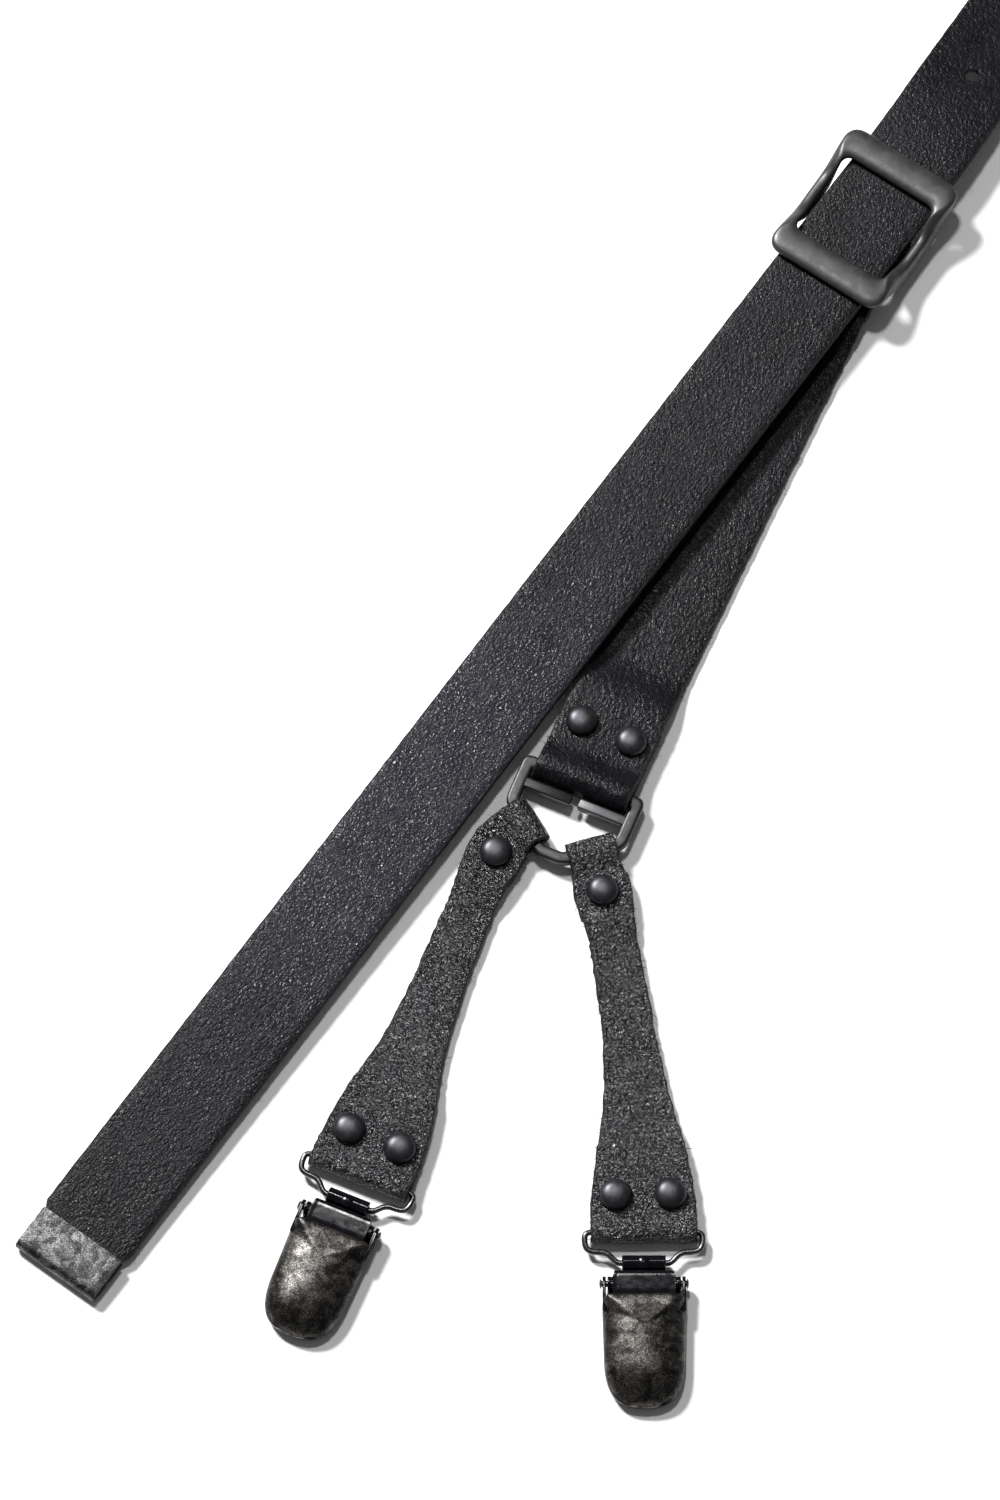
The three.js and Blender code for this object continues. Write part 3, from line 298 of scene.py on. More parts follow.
def leather_strip(line, thickness, lay, half_widths, step=2.0, round_off=0.45, ragged=0.06,
                  dents=(), crown=0.0, ripple=0.0, fuzz=0.0, seed=1, skin=True):
    """A strip of leather bent along its middle line and laid along its plan.

    Without skin it is only the loose fibres."""
    line = even(line, step)
    along = np.gradient(line, axis=0)
    along /= np.linalg.norm(along, axis=1)[:, None]
    arcs = np.concatenate([[0], np.cumsum(np.linalg.norm(np.diff(line, axis=0), axis=1))])
    rows, flats = [], []
    outline = section(thickness, round_off)
    for (run, height), (forward, up), distance in zip(line, along, arcs):
        right, left = half_widths(run)
        wobble = [ragged * noise.noise(Vector((distance * f, seed * 7.3 + side * 3.1, 0.5))) * 2
                  for side, f in ((1, 0.9), (2, 0.8))]
        fine = [ragged * noise.noise(Vector((distance * 3.1, seed * 5.7 + side, 1.5)))
                for side in (1, 2)]
        row, flat = [], []
        for share, inset, out, kind in outline:
            edge = right + wobble[0] + fine[0] if share > 0 else left + wobble[1] + fine[1]
            width = max(edge, 0.4)
            offset = share * width - math.copysign(inset, share) if share else 0.0
            if out > 0 and kind == 0:
                out += crown * (1 - abs(share) ** 4) - 0.05 * abs(share) ** 8
            place = lay.beside(run - up * out, offset)
            if out > 0.2 and (len(dents) or ripple):
                for x, y, radius, depth in dents:
                    away = math.hypot(place[0] - x, place[1] - y) / radius
                    out -= depth * math.exp(-(away**2)) if away < 3 else 0
                out += ripple * noise.noise(Vector((offset * 0.16, distance * 0.22, seed * 3.0)))
                out += 0.5 * ripple * noise.noise(Vector((offset * 0.45, distance * 0.6,
                                                          seed * 9.0)))
            row.append((*lay.beside(run - up * out, offset), height + forward * out))
            flat.append((offset + seed * 40, distance))
        rows.append(row)
        flats.append(flat)
    shape = Shape()
    kinds = [k[3] for k in outline]
    if skin:
        shape.grid(rows, kinds=kinds, flat=flats)
    if fuzz:
        add_fibres(shape, rows, flats, kinds, fuzz, seed)
    return shape


def add_fibres(shape, rows, flats, kinds, density, seed):
    """Loose fibres along the cut edges, each a thin bent cone rooted in the edge."""
    rng = random.Random(seed * 31 + 5)
    columns = [i for i, k in enumerate(kinds) if k == 1]
    rows = np.array(rows)
    for i in range(1, len(rows) - 1):
        spacing = np.linalg.norm(rows[i][0] - rows[i - 1][0])
        for _ in range(int(spacing * density + rng.random())):
            column = rng.choice(columns)
            root = rows[i][column] + (rows[i + 1][column] - rows[i][column]) * rng.random()
            outward = rows[i][column] - rows[i].mean(axis=0)
            outward[2] *= 0.3
            outward /= np.linalg.norm(outward)
            forward = rows[i + 1][column] - rows[i][column]
            forward /= np.linalg.norm(forward)
            length = rng.choice(FIBRE_LENGTHS) * rng.uniform(0.7, 1.3)
            lean = rng.uniform(-1.1, 1.1)
            aim = outward * math.cos(lean) + forward * math.sin(lean)
            curl = forward * rng.uniform(-0.5, 0.5) + np.array([0, 0, rng.uniform(-0.25, 0.3)])
            side = np.cross(aim, [0, 0, 1])
            side /= max(np.linalg.norm(side), 1e-6)
            over = np.cross(side, aim)
            width = rng.uniform(0.06, 0.11)
            tube = []
            for share in (-0.15, 0.35, 0.75):
                middle = root + aim * length * share + curl * length * share * abs(share)
                thick = width * (1 - 0.7 * max(share, 0))
                tube.append([middle + thick * (side * math.cos(a) + over * math.sin(a))
                             for a in (0, 2.1, 4.2)])
            tip = root + aim * length + curl * length
            points = [p for ring in tube for p in ring] + [tip]
            if min(p[2] for p in points) < 0.03:
                continue
            faces = [[2, 1, 0]]
            for r in range(2):
                faces += [[r * 3 + k, r * 3 + (k + 1) % 3, r * 3 + 3 + (k + 1) % 3, r * 3 + 3 + k]
                          for k in range(3)]
            faces += [[6 + k, 6 + (k + 1) % 3, 9] for k in range(3)]
            shape.add(points, faces, 1, [flats[i][column]] * len(points))


def even_width(run):
    return STRAP_WIDTH / 2, STRAP_WIDTH / 2


def fold_over_ring(reach):
    """The middle line of a strap's end that is folded round a ring's top bar."""
    rise = reach - RING_FOLD_BACK - 8
    radius = TOP_BAR_RADIUS + GAP + STRAP_THICKNESS / 2
    top = RING_HEIGHT + radius
    return [
        *eased([rise - 10, rise - 2, rise - 1, rise + 7], FLAT_HEIGHT, STRAP_HIGH, 10),
        *eased([reach - 8, reach - 5, reach - 3, reach], STRAP_HIGH, top),
        *arc((reach, RING_HEIGHT), radius, math.pi / 2, -math.pi / 2, 14),
        (reach - 8, STRAP_LOW),
        (reach - RING_FOLD_BACK, STRAP_LOW),
    ]


def tab_line(length):
    """The middle line of a tab, folded round the ring's slanted bar and round the clip's wire."""
    ring, wire = RING_BAR / 2 + GAP + TAB_THICKNESS / 2, WIRE_RADIUS + GAP + TAB_THICKNESS / 2
    top = WIRE_HEIGHT + wire
    return [
        (16.5, TAB_LOW), (8, TAB_LOW),
        *arc((0, RING_HEIGHT), ring, 1.5 * math.pi, 0.5 * math.pi, 12),
        *eased([0, 2.4, 3.8, 6.4], RING_HEIGHT + ring, TAB_HIGH, 6),
        *eased([16.5, 20, 22, 27], TAB_HIGH, TAB_LOW),
        *eased([length - 30, length - 26, length - 25, length - 21], TAB_LOW, TAB_HIGH),
        *eased([length - 4.5, length - 3, length - 1.5, length], TAB_HIGH, top, 6),
        *arc((length, WIRE_HEIGHT), wire, 0.5 * math.pi, -0.5 * math.pi, 10),
        (length - 4.5, TAB_LOW), (length - 19, TAB_LOW),
    ]


def tab_half_width(run):
    places, widths = zip(*TAB_WIDTHS)
    half = float(np.interp(run, places, widths)) / 2
    near = float(np.mean([np.interp(run + d, places, widths) for d in (-3, -1.5, 0, 1.5, 3)])) / 2
    half = min(half, near) if run < 12 else near
    return half, half


# ------------------------------------------------------------------ metal shapes
def squared(angle, power):
    """A point of a unit circle squared up: 2 leaves it round, and a higher power squares it."""
    c, s = math.cos(angle), math.sin(angle)
    return math.copysign(abs(c) ** (2 / power), c), math.copysign(abs(s) ** (2 / power), s)


def loop_sweep(outer, inner, low, high, power, around):
    """A closed bar between two matching loops, with a rounded section.

    low and high give the bar's heights at a point, and a higher power a squarer section."""
    rows = []
    for a, b in zip(outer, inner):
        middle, half = (a + b) / 2, (a - b) / 2
        bottom, top = low(middle), high(middle)
        row = []
        for k in range(around):
            angle = 2 * math.pi * (k + 0.5) / around
            u, v = squared(angle, power)
            p = middle + half * u
            row.append((p[0], p[1], (bottom + top) / 2 + (top - bottom) / 2 * v))
        rows.append(row)
    return rows + [rows[0]]


def tube(shape, centre, radius, sides=12):
    """A round bar along points, with eased ends. It may not run straight up."""
    centre = np.array(centre, float)
    along = np.gradient(centre, axis=0)
    rows = []
    for p, t in zip(centre, along):
        t = t / np.linalg.norm(t)
        side = np.cross(t, [0, 0, 1.0])
        side /= np.linalg.norm(side)
        over = np.cross(side, t)
        ring = [p + radius * (side * math.cos(a) + over * math.sin(a))
                for a in np.linspace(0, 2 * math.pi, sides, endpoint=False)]
        rows.append(ring)
    ends = [[centre[i] + (q - centre[i]) * 0.7 for q in rows[i]] for i in (0, -1)]
    first = along[0] / np.linalg.norm(along[0]) * radius * 0.25
    last = along[-1] / np.linalg.norm(along[-1]) * radius * 0.25
    rows = [[q - first for q in ends[0]], *rows, [q + last for q in ends[1]]]
    shape.grid(rows)


def lathe(shape, profile, origin, axis="z", sides=32):
    """A turned solid. profile is (radius, height) from one pole to the other."""
    rows = []
    for r, h in profile:
        ring = []
        for a in np.linspace(0, 2 * math.pi, sides, endpoint=False):
            x, y, z = r * math.cos(a), r * math.sin(a), h
            if axis == "x":
                x, y, z = h, x, y
            ring.append((origin[0] + x, origin[1] + y, origin[2] + z))
        rows.append(ring)
    shape.grid(rows)


def plate(shape, loop, low, high, edge=0.25, kinds=(0, 1, 2), steps=(1.0, 0.9, 0.7, 0.4)):
    """A flat plate with rounded edges over a convex outline, in nested loops."""
    loop = np.array(loop)
    centre = loop.mean(axis=0)

    def inset(amount):
        away = loop - centre
        size = np.linalg.norm(away, axis=1)[:, None]
        return centre + away * (size - amount) / size

    rows = []
    for share in steps[::-1]:
        rows.append((centre + (inset(edge) - centre) * share, low, 2))
    rows += [(inset(edge * 0.3), low + edge * 0.3, 1), (inset(0), low + edge, 1),
             (inset(0), high - edge, 1),
             (inset(edge * 0.3), high - edge * 0.3, 0)]
    for share in steps:
        rows.append((centre + (inset(edge) - centre) * share, high, 0))
    made = [[(p[0], p[1], z) for p in r] for r, z, _ in rows]
    n, m = len(made), len(loop)
    faces, marks = [], []
    for i in range(n - 1):
        mark = kinds[rows[i + 1][2]] if rows[i + 1][1] > (low + high) / 2 else kinds[rows[i][2]]
        for k in range(m):
            faces.append([i * m + k, i * m + (k + 1) % m, (i + 1) * m + (k + 1) % m,
                          (i + 1) * m + k])
            marks.append(mark)
    faces += [list(range(m))[::-1], [(n - 1) * m + k for k in range(m)]]
    marks += [kinds[2], kinds[0]]
    shape.add([p for r in made for p in r], faces, marks)


def prism(shape, outline, start, end, edge=0.12):
    """A side outline given as (y, z), solid from x = start to x = end, with eased edges."""
    outline = np.array(outline, float)
    centre = outline.mean(axis=0)
    small = centre + (outline - centre) * (1 - edge / np.abs(outline - centre).max())
    ends = (start, small), (start + edge, outline), (end - edge, outline), (end, small)
    shape.grid([[(x, p[0], p[1]) for p in loop] for x, loop in ends])


# ------------------------------------------------------------------ materials
class Nodes:
    """Short calls for a material's nodes."""

    def __init__(self, name):
        self.material = bpy.data.materials.new(name)
        self.material.use_nodes = True
        self.tree = self.material.node_tree
        self.tree.nodes.clear()
        self.output = self.add("ShaderNodeOutputMaterial")
        self.shader = self.add("ShaderNodeBsdfPrincipled")
        self.link(self.shader.outputs[0], self.output.inputs[0])
        self.where = self.add("ShaderNodeTexCoord")

    def add(self, kind, **settings):
        node = self.tree.nodes.new(kind)
        for key, value in settings.items():
            setattr(node, key, value)
        return node

    def link(self, a, b):
        self.tree.links.new(a, b)

    def put(self, **values):
        for key, value in values.items():
            self.shader.inputs[key.replace("_", " ")].default_value = value

    def scaled(self, source, scale):
        node = self.add("ShaderNodeMapping")
        node.inputs["Scale"].default_value = scale
        self.link(self.where.outputs[source], node.inputs[0])
        return node.outputs[0]

    def noise(self, place, scale, detail=4.0, rough=0.55, distortion=0.0):
        node = self.add("ShaderNodeTexNoise")
        self.link(place, node.inputs["Vector"])
        for key, value in (("Scale", scale), ("Detail", detail), ("Roughness", rough),
                           ("Distortion", distortion)):
            node.inputs[key].default_value = value
        return node.outputs[0]

    def cells(self, place, scale, feature="DISTANCE_TO_EDGE", spread=1.0):
        node = self.add("ShaderNodeTexVoronoi", feature=feature)
        self.link(place, node.inputs["Vector"])
        node.inputs["Scale"].default_value = scale
        node.inputs["Randomness"].default_value = spread
        return node.outputs["Distance"]

    def ramp(self, value, low, high, a, b):
        """Maps low..high of a value onto a..b, clamped."""
        node = self.add("ShaderNodeMapRange")
        self.link(value, node.inputs[0])
        for key, number in ((1, low), (2, high), (3, a), (4, b)):
            node.inputs[key].default_value = number
        return node.outputs[0]

    def maths(self, how, a, b):
        node = self.add("ShaderNodeMath", operation=how)
        for i, value in enumerate((a, b)):
            if isinstance(value, (int, float)):
                node.inputs[i].default_value = value
            else:
                self.link(value, node.inputs[i])
        return node.outputs[0]

    def mix(self, share, a, b):
        node = self.add("ShaderNodeMix", data_type="RGBA")
        self.link(share, node.inputs[0])
        for i, colour in ((6, a), (7, b)):
            if isinstance(colour, tuple):
                node.inputs[i].default_value = (*colour, 1)
            else:
                self.link(colour, node.inputs[i])
        return node.outputs[2]

    def bump(self, *layers):
        """Layers of (height, distance in millimetres, strength), the first innermost."""
        normal = None
        for height, distance, strength in layers:
            node = self.add("ShaderNodeBump")
            node.inputs["Distance"].default_value = distance * MM
            node.inputs["Strength"].default_value = strength
            self.link(height, node.inputs["Height"])
            if normal:
                self.link(normal, node.inputs["Normal"])
            normal = node.outputs[0]
        self.link(normal, self.shader.inputs["Normal"])

    def colour(self, value):
        self.link(value, self.shader.inputs["Base Color"])

    def rough(self, value):
        self.link(value, self.shader.inputs["Roughness"])


def leather(name, dark, light, gloss, grain, grain_depth, wrinkle=0.0, scratches=0.0, painted_sheen=None,
            shine=0.3, painted_glints=0.1):
    """Black grained leather. The flat map is in centimetres, across and along.

    One argument gives (place along, half length) of a stretch with lower roughness and a painted
    sheen that lightens its colour, and another sets how strongly the raised grain gets pale painted
    glints."""
    n = Nodes(name)
    uv = n.scaled("UV", (1, 1, 1))
    warp = n.noise(uv, 3.0, 2.0)
    pebbles = n.ramp(n.cells(uv, grain), 0.0, 0.28, 0.0, 1.0)
    coarse = n.ramp(n.cells(n.scaled("UV", (1.0, 0.72, 1)), grain * 0.47), 0.0, 0.35, 0.0, 1.0)
    fine = n.noise(uv, grain * 2.6, 3.0, 0.7)
    patches = n.noise(n.scaled("UV", (0.9, 0.35, 1)), 0.9, 4.0, 0.55, 0.4)
    share = n.ramp(patches, 0.35, 0.7, 0.0, 1.0)
    base = n.mix(share, dark, light)
    wear = n.ramp(n.noise(n.scaled("UV", (1.2, 0.8, 1)), 2.1, 8.0, 0.75), 0.62, 0.8, 0.0, 0.35)
    base = n.mix(wear, base, tuple(1.9 * c for c in light))
    # painted glints: pale specks on the raised grain, a painted highlight
    glint_specks = n.ramp(n.noise(n.scaled("UV", (1.0, 1.3, 1)), grain, 3.0, 0.7, 0.6), 0.54, 0.66, 0.0,
                  painted_glints)
    base = n.mix(n.maths("MULTIPLY", glint_specks, n.ramp(patches, 0.3, 0.7, 0.5, 1.5)), base,
                 (0.085, 0.085, 0.092))
    layers = [(warp, 0.25, 0.25), (coarse, 0.12, grain_depth * 0.8),
              (pebbles, 0.08, grain_depth * 0.7),
              (fine, 0.04, 0.12)]
    if wrinkle:
        folds = n.noise(n.scaled("UV", (1.0, 1.5, 1)), 5.0, 3.0, 0.6, 0.9)
        creases = n.ramp(n.cells(n.scaled("UV", (1.0, 1.6, 1)), 5.5, spread=1.0), 0.0, 0.10, 0.0,
                         1.0)
        layers = [(folds, 0.8, wrinkle), (creases, 0.16, wrinkle * 0.8), *layers]
    if scratches:
        lines = n.noise(n.scaled("UV", (6.0, 0.5, 1)), 3.0, 3.0, 0.6, 2.5)
        mark = n.ramp(lines, 0.715, 0.73, 0.0, scratches)
        base = n.mix(mark, base, (0.16, 0.16, 0.17))
    polish = n.ramp(n.noise(n.scaled("UV", (1.0, 0.6, 1)), 1.6, 5.0, 0.6), 0.3, 0.7, gloss - 0.06,
                    gloss + 0.10)
    # painted sheen: a stretch along the strap gets lower roughness and a lighter colour, a painted
    # highlight along the tail's middle
    if painted_sheen:
        split = n.add("ShaderNodeSeparateXYZ")
        n.link(uv, split.inputs[0])
        away = n.maths("ABSOLUTE", n.maths("SUBTRACT", split.outputs[1], painted_sheen[0]), 0.0)
        sheen_share = n.ramp(n.maths("ADD", away, n.ramp(patches, 0.3, 0.7, 1.2, -1.2)), painted_sheen[1], 0.0,
                        0.0, 1.0)
        sheen_share = n.maths("MULTIPLY", sheen_share, n.maths("SUBTRACT", 2.0, sheen_share))
        polish = n.maths("SUBTRACT", polish, n.maths("MULTIPLY", sheen_share, 0.13))
        # the painted sheen lightens the colour over the stretch
        base = n.mix(n.maths("MULTIPLY", sheen_share, 0.5), base, tuple(4.5 * c for c in light))
    n.colour(base)
    n.rough(polish)
    n.put(Specular_IOR_Level=shine)
    n.bump(*layers)
    return n.material


def raw_edge(name, dark, light):
    """The cut side of leather: matt, fibrous, with paler fibres."""
    n = Nodes(name)
    uv = n.scaled("UV", (4.0, 4.0, 1))
    obj = n.scaled("Object", (1000, 1000, 1000))
    fibres = n.noise(obj, 2.4, 6.0, 0.75)
    layers = n.noise(n.scaled("Object", (180, 180, 2600)), 1.0, 4.0, 0.6)
    n.colour(n.mix(n.ramp(fibres, 0.42, 0.68, 0.0, 1.0), dark, light))
    n.rough(n.ramp(n.noise(uv, 2.0), 0.3, 0.7, 0.72, 0.92))
    n.put(Specular_IOR_Level=0.3)
    n.bump((layers, 0.2, 0.6), (fibres, 0.25, 0.8))
    return n.material


def flesh(name):
    """The suede inner side."""
    n = Nodes(name)
    uv = n.scaled("UV", (1, 1, 1))
    nap = n.noise(uv, 40.0, 5.0, 0.8)
    cloud = n.noise(uv, 1.5, 5.0, 0.6)
    n.colour(n.mix(n.ramp(cloud, 0.3, 0.7, 0.0, 1.0), (0.012, 0.012, 0.014), (0.034, 0.033, 0.034)))
    n.rough(n.ramp(nap, 0.3, 0.7, 0.8, 0.98))
    n.put(Specular_IOR_Level=0.2, Sheen_Weight=0.15, Sheen_Roughness=0.6)
    n.bump((nap, 0.15, 0.7))
    return n.material


def cast_metal(name, dark, light, gloss, metallic, grit):
    """Blackened cast metal with a fine sandy skin and slightly polished patches."""
    n = Nodes(name)
    obj = n.scaled("Object", (1000, 1000, 1000))
    sand = n.noise(obj, 2.2, 4.0, 0.7)
    cloud = n.noise(obj, 0.16, 5.0, 0.6, 0.5)
    scuff = n.noise(n.scaled("Object", (900, 260, 900)), 0.9, 6.0, 0.7, 1.5)
    share = n.maths("ADD", n.ramp(cloud, 0.35, 0.7, 0.0, 0.7), n.ramp(scuff, 0.58, 0.72, 0.0, 0.35))
    n.colour(n.mix(share, dark, light))
    n.rough(n.ramp(n.noise(obj, 0.5, 4.0), 0.3, 0.7, gloss - 0.05, gloss + 0.09))
    n.put(Metallic=metallic, Specular_IOR_Level=0.5)
    n.bump((cloud, 0.3, 0.15), (sand, 0.06, grit))
    return n.material


def antique(name, dark, mid, bright, gloss, speckle):
    """Blackened plating rubbed back to mottled silver."""
    n = Nodes(name)
    obj = n.scaled("Object", (1000, 1000, 1000))
    cloud = n.noise(obj, 0.30, 6.0, 0.66, 0.8)
    mottle = n.noise(obj, 1.5, 8.0, 0.78, 0.6)
    specks = n.noise(obj, 3.2, 4.0, 0.8)
    pits = n.ramp(n.cells(obj, 0.55, "F1"), 0.05, 0.32, 1.0, 0.0)
    base = n.mix(n.ramp(mottle, 0.38, 0.66, 0.0, 1.0), dark, mid)
    base = n.mix(n.ramp(n.maths("MULTIPLY", cloud, n.ramp(specks, 0.35, 0.7, 0.55, 1.45)), 0.42,
                        0.72, 0.0, speckle),
                 base, bright)
    scratch = n.ramp(n.noise(n.scaled("Object", (1900, 300, 900)), 1.0, 4.0, 0.6, 2.0), 0.66, 0.70,
                     0.0, 0.6)
    base = n.mix(scratch, base, bright)
    base = n.mix(n.maths("MULTIPLY", pits, n.ramp(cloud, 0.5, 0.62, 0.0, 0.9)), base,
                 (0.008, 0.008, 0.009))
    n.colour(base)
    n.rough(n.ramp(mottle, 0.35, 0.7, gloss + 0.12, gloss - 0.08))
    n.put(Metallic=0.92)
    n.bump((cloud, 0.35, 0.12), (mottle, 0.10, 0.35), (specks, 0.04, 0.5), (pits, 0.05, 0.2))
    return n.material


def enamel(name, colour, gloss, metallic, wear):
    """Painted or plated small parts, with faint wear and smudges."""
    n = Nodes(name)
    obj = n.scaled("Object", (1000, 1000, 1000))
    smudge = n.noise(obj, 0.5, 5.0, 0.65)
    chips = n.ramp(n.noise(obj, 1.5, 6.0, 0.8), 0.64, 0.72, 0.0, 0.6)
    n.colour(n.mix(chips,
                   n.mix(n.ramp(smudge, 0.3, 0.7, 0.0, 1.0), colour,
                         tuple(1.7 * c for c in colour)), wear))
    n.rough(n.ramp(smudge, 0.3, 0.7, gloss, gloss + 0.13))
    n.put(Metallic=metallic, Specular_IOR_Level=0.2)
    n.bump((smudge, 0.08, 0.2), (n.noise(obj, 3.0, 3.0), 0.02, 0.3))
    return n.material


# all leathers carry pale painted glints on the grain, strongest on the tabs
DARK, LIGHT = (0.0024, 0.0024, 0.0034), (0.0050, 0.0050, 0.0068)
# the strap's painted sheen lies along the middle of the tail
STRAP = leather("strap_grain", DARK, LIGHT, 0.33, 16.0, 0.9, scratches=0.08, painted_sheen=(14.5, 8.5),
                shine=0.12, painted_glints=0.07)
RING_STRAP = leather("ring_strap_grain", DARK, LIGHT, 0.32, 14.0, 1.0, shine=0.12, painted_glints=0.10)
TAB = leather("tab_grain", (0.0022, 0.0022, 0.0030), (0.0090, 0.0090, 0.0110), 0.24, 13.0, 1.5,
              wrinkle=1.3, shine=0.60, painted_glints=1.0)
YOKE = leather("yoke_grain", DARK, LIGHT, 0.50, 14.0, 0.7)
EDGE = raw_edge("cut_edge", (0.003, 0.003, 0.003), (0.016, 0.0155, 0.015))
TAB_EDGE = raw_edge("tab_cut_edge", (0.003, 0.003, 0.003), (0.019, 0.018, 0.017))
FLESH = flesh("flesh_side")
BUCKLE_METAL = cast_metal("buckle_cast", (0.027, 0.027, 0.028), (0.058, 0.057, 0.056), 0.38, 0.5,
                          0.25)
RING_METAL = cast_metal("ring_cast", (0.007, 0.0074, 0.0085), (0.020, 0.021, 0.023), 0.35, 0.4, 0.3)
TIP_METAL = antique("tip_antique_plate", (0.008, 0.008, 0.009), (0.045, 0.045, 0.047),
                    (0.26, 0.26, 0.255), 0.38, 0.9)
LID_METAL = antique("lid_antique_plate", (0.005, 0.0048, 0.0046), (0.024, 0.0227, 0.0215),
                    (0.19, 0.177, 0.165), 0.34, 0.8)
WIRE_METAL = enamel("wire_nickel_plate", (0.055, 0.055, 0.057), 0.16, 0.9, (0.2, 0.2, 0.2))
CLIP_BLACK = enamel("clip_black_plate", (0.0020, 0.0020, 0.0030), 0.08, 0.0, (0.012, 0.012, 0.013))
RIVET_BLACK = enamel("rivet_black_enamel", (0.032, 0.032, 0.036), 0.32, 0.85, (0.05, 0.05, 0.055))
THREAD = enamel("waxed_thread", (0.014, 0.014, 0.015), 0.55, 0.0, (0.05, 0.05, 0.05))
LEATHERS = {"strap": [STRAP, EDGE, FLESH], "ring": [RING_STRAP, EDGE, FLESH],
            "tab": [TAB, TAB_EDGE, FLESH], "yoke": [YOKE, EDGE, FLESH]}


# ------------------------------------------------------------------ rivets, ring, buckle
def rivet_shape(x, y, layer, low, dome):
    """A double-cap rivet through two layers. low is the height of the lower layer's middle."""
    under = low - layer / 2 - GAP
    over = low + layer * 1.5 + 2 * GAP
    cap = RIVET_CAP
    profile = [(0.001, under - RIVET_FOOT), (RIVET_FOOT_RADIUS - 0.25, under - RIVET_FOOT),
               (RIVET_FOOT_RADIUS, under - RIVET_FOOT * 0.5), (RIVET_FOOT_RADIUS - 0.1, under),
               (1.5, under),
               (1.5, over - 0.25), (cap - 0.35, over - 0.3), (cap - 0.05, over - 0.12),
               (cap, over + 0.08)]
    for share in np.linspace(0.06, 1.0, 10):
        angle = share * math.pi / 2
        profile.append((max(cap * 0.985 * math.cos(angle) ** 0.78, 0.001),
                        over + 0.12 + (dome - 0.12) * math.sin(angle)))
    shape = Shape()
    lathe(shape, profile, (x, y, 0), sides=28)
    return shape


def ring_shape():
    inner = RING_HALF - RING_BAR
    outer_corners = [(RING_HALF, -TOP_BAR_RADIUS), (RING_HALF, RING_SHOULDER),
                     (RING_FOOT_HALF, RING_DEPTH),
                     (-RING_FOOT_HALF, RING_DEPTH), (-RING_HALF, RING_SHOULDER),
                     (-RING_HALF, -TOP_BAR_RADIUS)]
    foot = RING_FOOT_HALF - RING_BAR * math.tan(SLANT / 2)
    shoulder = RING_SHOULDER - RING_BAR * math.tan((math.pi / 2 - SLANT) / 2)
    inner_corners = [(inner, TOP_BAR_RADIUS), (inner, shoulder), (foot, RING_DEPTH - RING_BAR),
                     (-foot, RING_DEPTH - RING_BAR), (-inner, shoulder), (-inner, TOP_BAR_RADIUS)]
    half = RING_THICKNESS / 2
    shape = Shape()
    rows = loop_sweep(rounded(outer_corners, RING_CORNER, 7, 5), rounded(inner_corners, 0.9, 7, 5),
                      lambda p: RING_HEIGHT - half, lambda p: RING_HEIGHT + half, 4.6, 24)
    shape.grid(rows, caps=False)
    split = CROSSBAR_SPLIT / 2
    for side in (-1, 1):
        rows = []
        for x, grow in ((inner + 0.8, 1.0), (inner, 1.0), (split + 0.25, 1.0), (split, 0.9)):
            row = []
            for k in range(20):
                angle = 2 * math.pi * (k + 0.5) / 20
                u, v = squared(angle, 8)
                row.append((side * x, CROSSBAR_DOWN + CROSSBAR / 2 + u * CROSSBAR / 2 * grow,
                            RING_HEIGHT + v * (half - 0.15) * grow))
            rows.append(row)
        shape.grid(rows)
    return shape


def buckle_shape():
    """A slide buckle: broad end bars, rails that dip to the centre bar. y runs up the strap."""
    inner = STRAP_WIDTH / 2 + BUCKLE_SIDE_ROOM
    outer = inner + BUCKLE_RAIL
    end, window = BUCKLE_HALF_LENGTH, BUCKLE_HALF_LENGTH - BUCKLE_END_BAR
    top = END_BAR_UNDER + BUCKLE_BAR_HEIGHT

    def corners(x, y):
        return [(x, -y), (x, y), (-x, y), (-x, -y)]

    def high(p):
        share = np.clip((window + 1.0 - abs(p[1])) / 9.5, 0, 1)
        dip = share * share * (3 - 2 * share)
        return top - 0.05 - 3.4 * dip - 0.25 * min(abs(p[0]) / outer, 1) ** 6

    def low(p):
        rail = np.clip((abs(p[0]) - inner + 1.0) / 1.5, 0, 1)
        share = np.clip((window + 2 - abs(p[1])) / 9.0, 0, 1) * rail
        dip = share * share * (3 - 2 * share)
        return END_BAR_UNDER - (END_BAR_UNDER - BAR_HEIGHT + CENTRE_BAR_RADIUS) * dip

    shape = Shape()
    rows = loop_sweep(rounded(corners(outer, end), 4.6, 10, 14),
                      rounded(corners(inner - 0.1, window), 2.6, 10, 14),
                      low, high, 2.7, 20)
    shape.grid(rows, caps=False)
    tube(shape, [(x, 0, BAR_HEIGHT) for x in np.linspace(-inner - 1.2, inner + 1.2, 12)],
         CENTRE_BAR_RADIUS, 16)
    return shape


# ------------------------------------------------------------------ clips, y towards the mouth
def wire_centre():
    half = []
    drop = WIRE_REACH - 2.75
    half += list(bezier([(5.6, WIRE_REACH), (7.6, WIRE_REACH), (7.6, drop), (10.6, drop)], 12))
    half += list(bezier([(10.6, drop), (WIRE_HALF - 0.8, drop), (WIRE_HALF, WIRE_REACH - 3.4),
                         (WIRE_HALF, WIRE_CORNER)], 12))[1:]
    half += list(bezier([(WIRE_HALF, WIRE_CORNER), (WIRE_HALF, 0), (WIRE_HALF - WIRE_CORNER, 0)],
                        7))[1:]
    half += [(x, 0) for x in np.linspace(WIRE_HALF - WIRE_CORNER, 0, 8)][1:]
    right = [(1.3, WIRE_REACH), (3.4, WIRE_REACH), *half]
    left = [(-x, y) for x, y in right[::-1]][1:]
    return [(x, y, 0) for x, y in [*right, *left]]


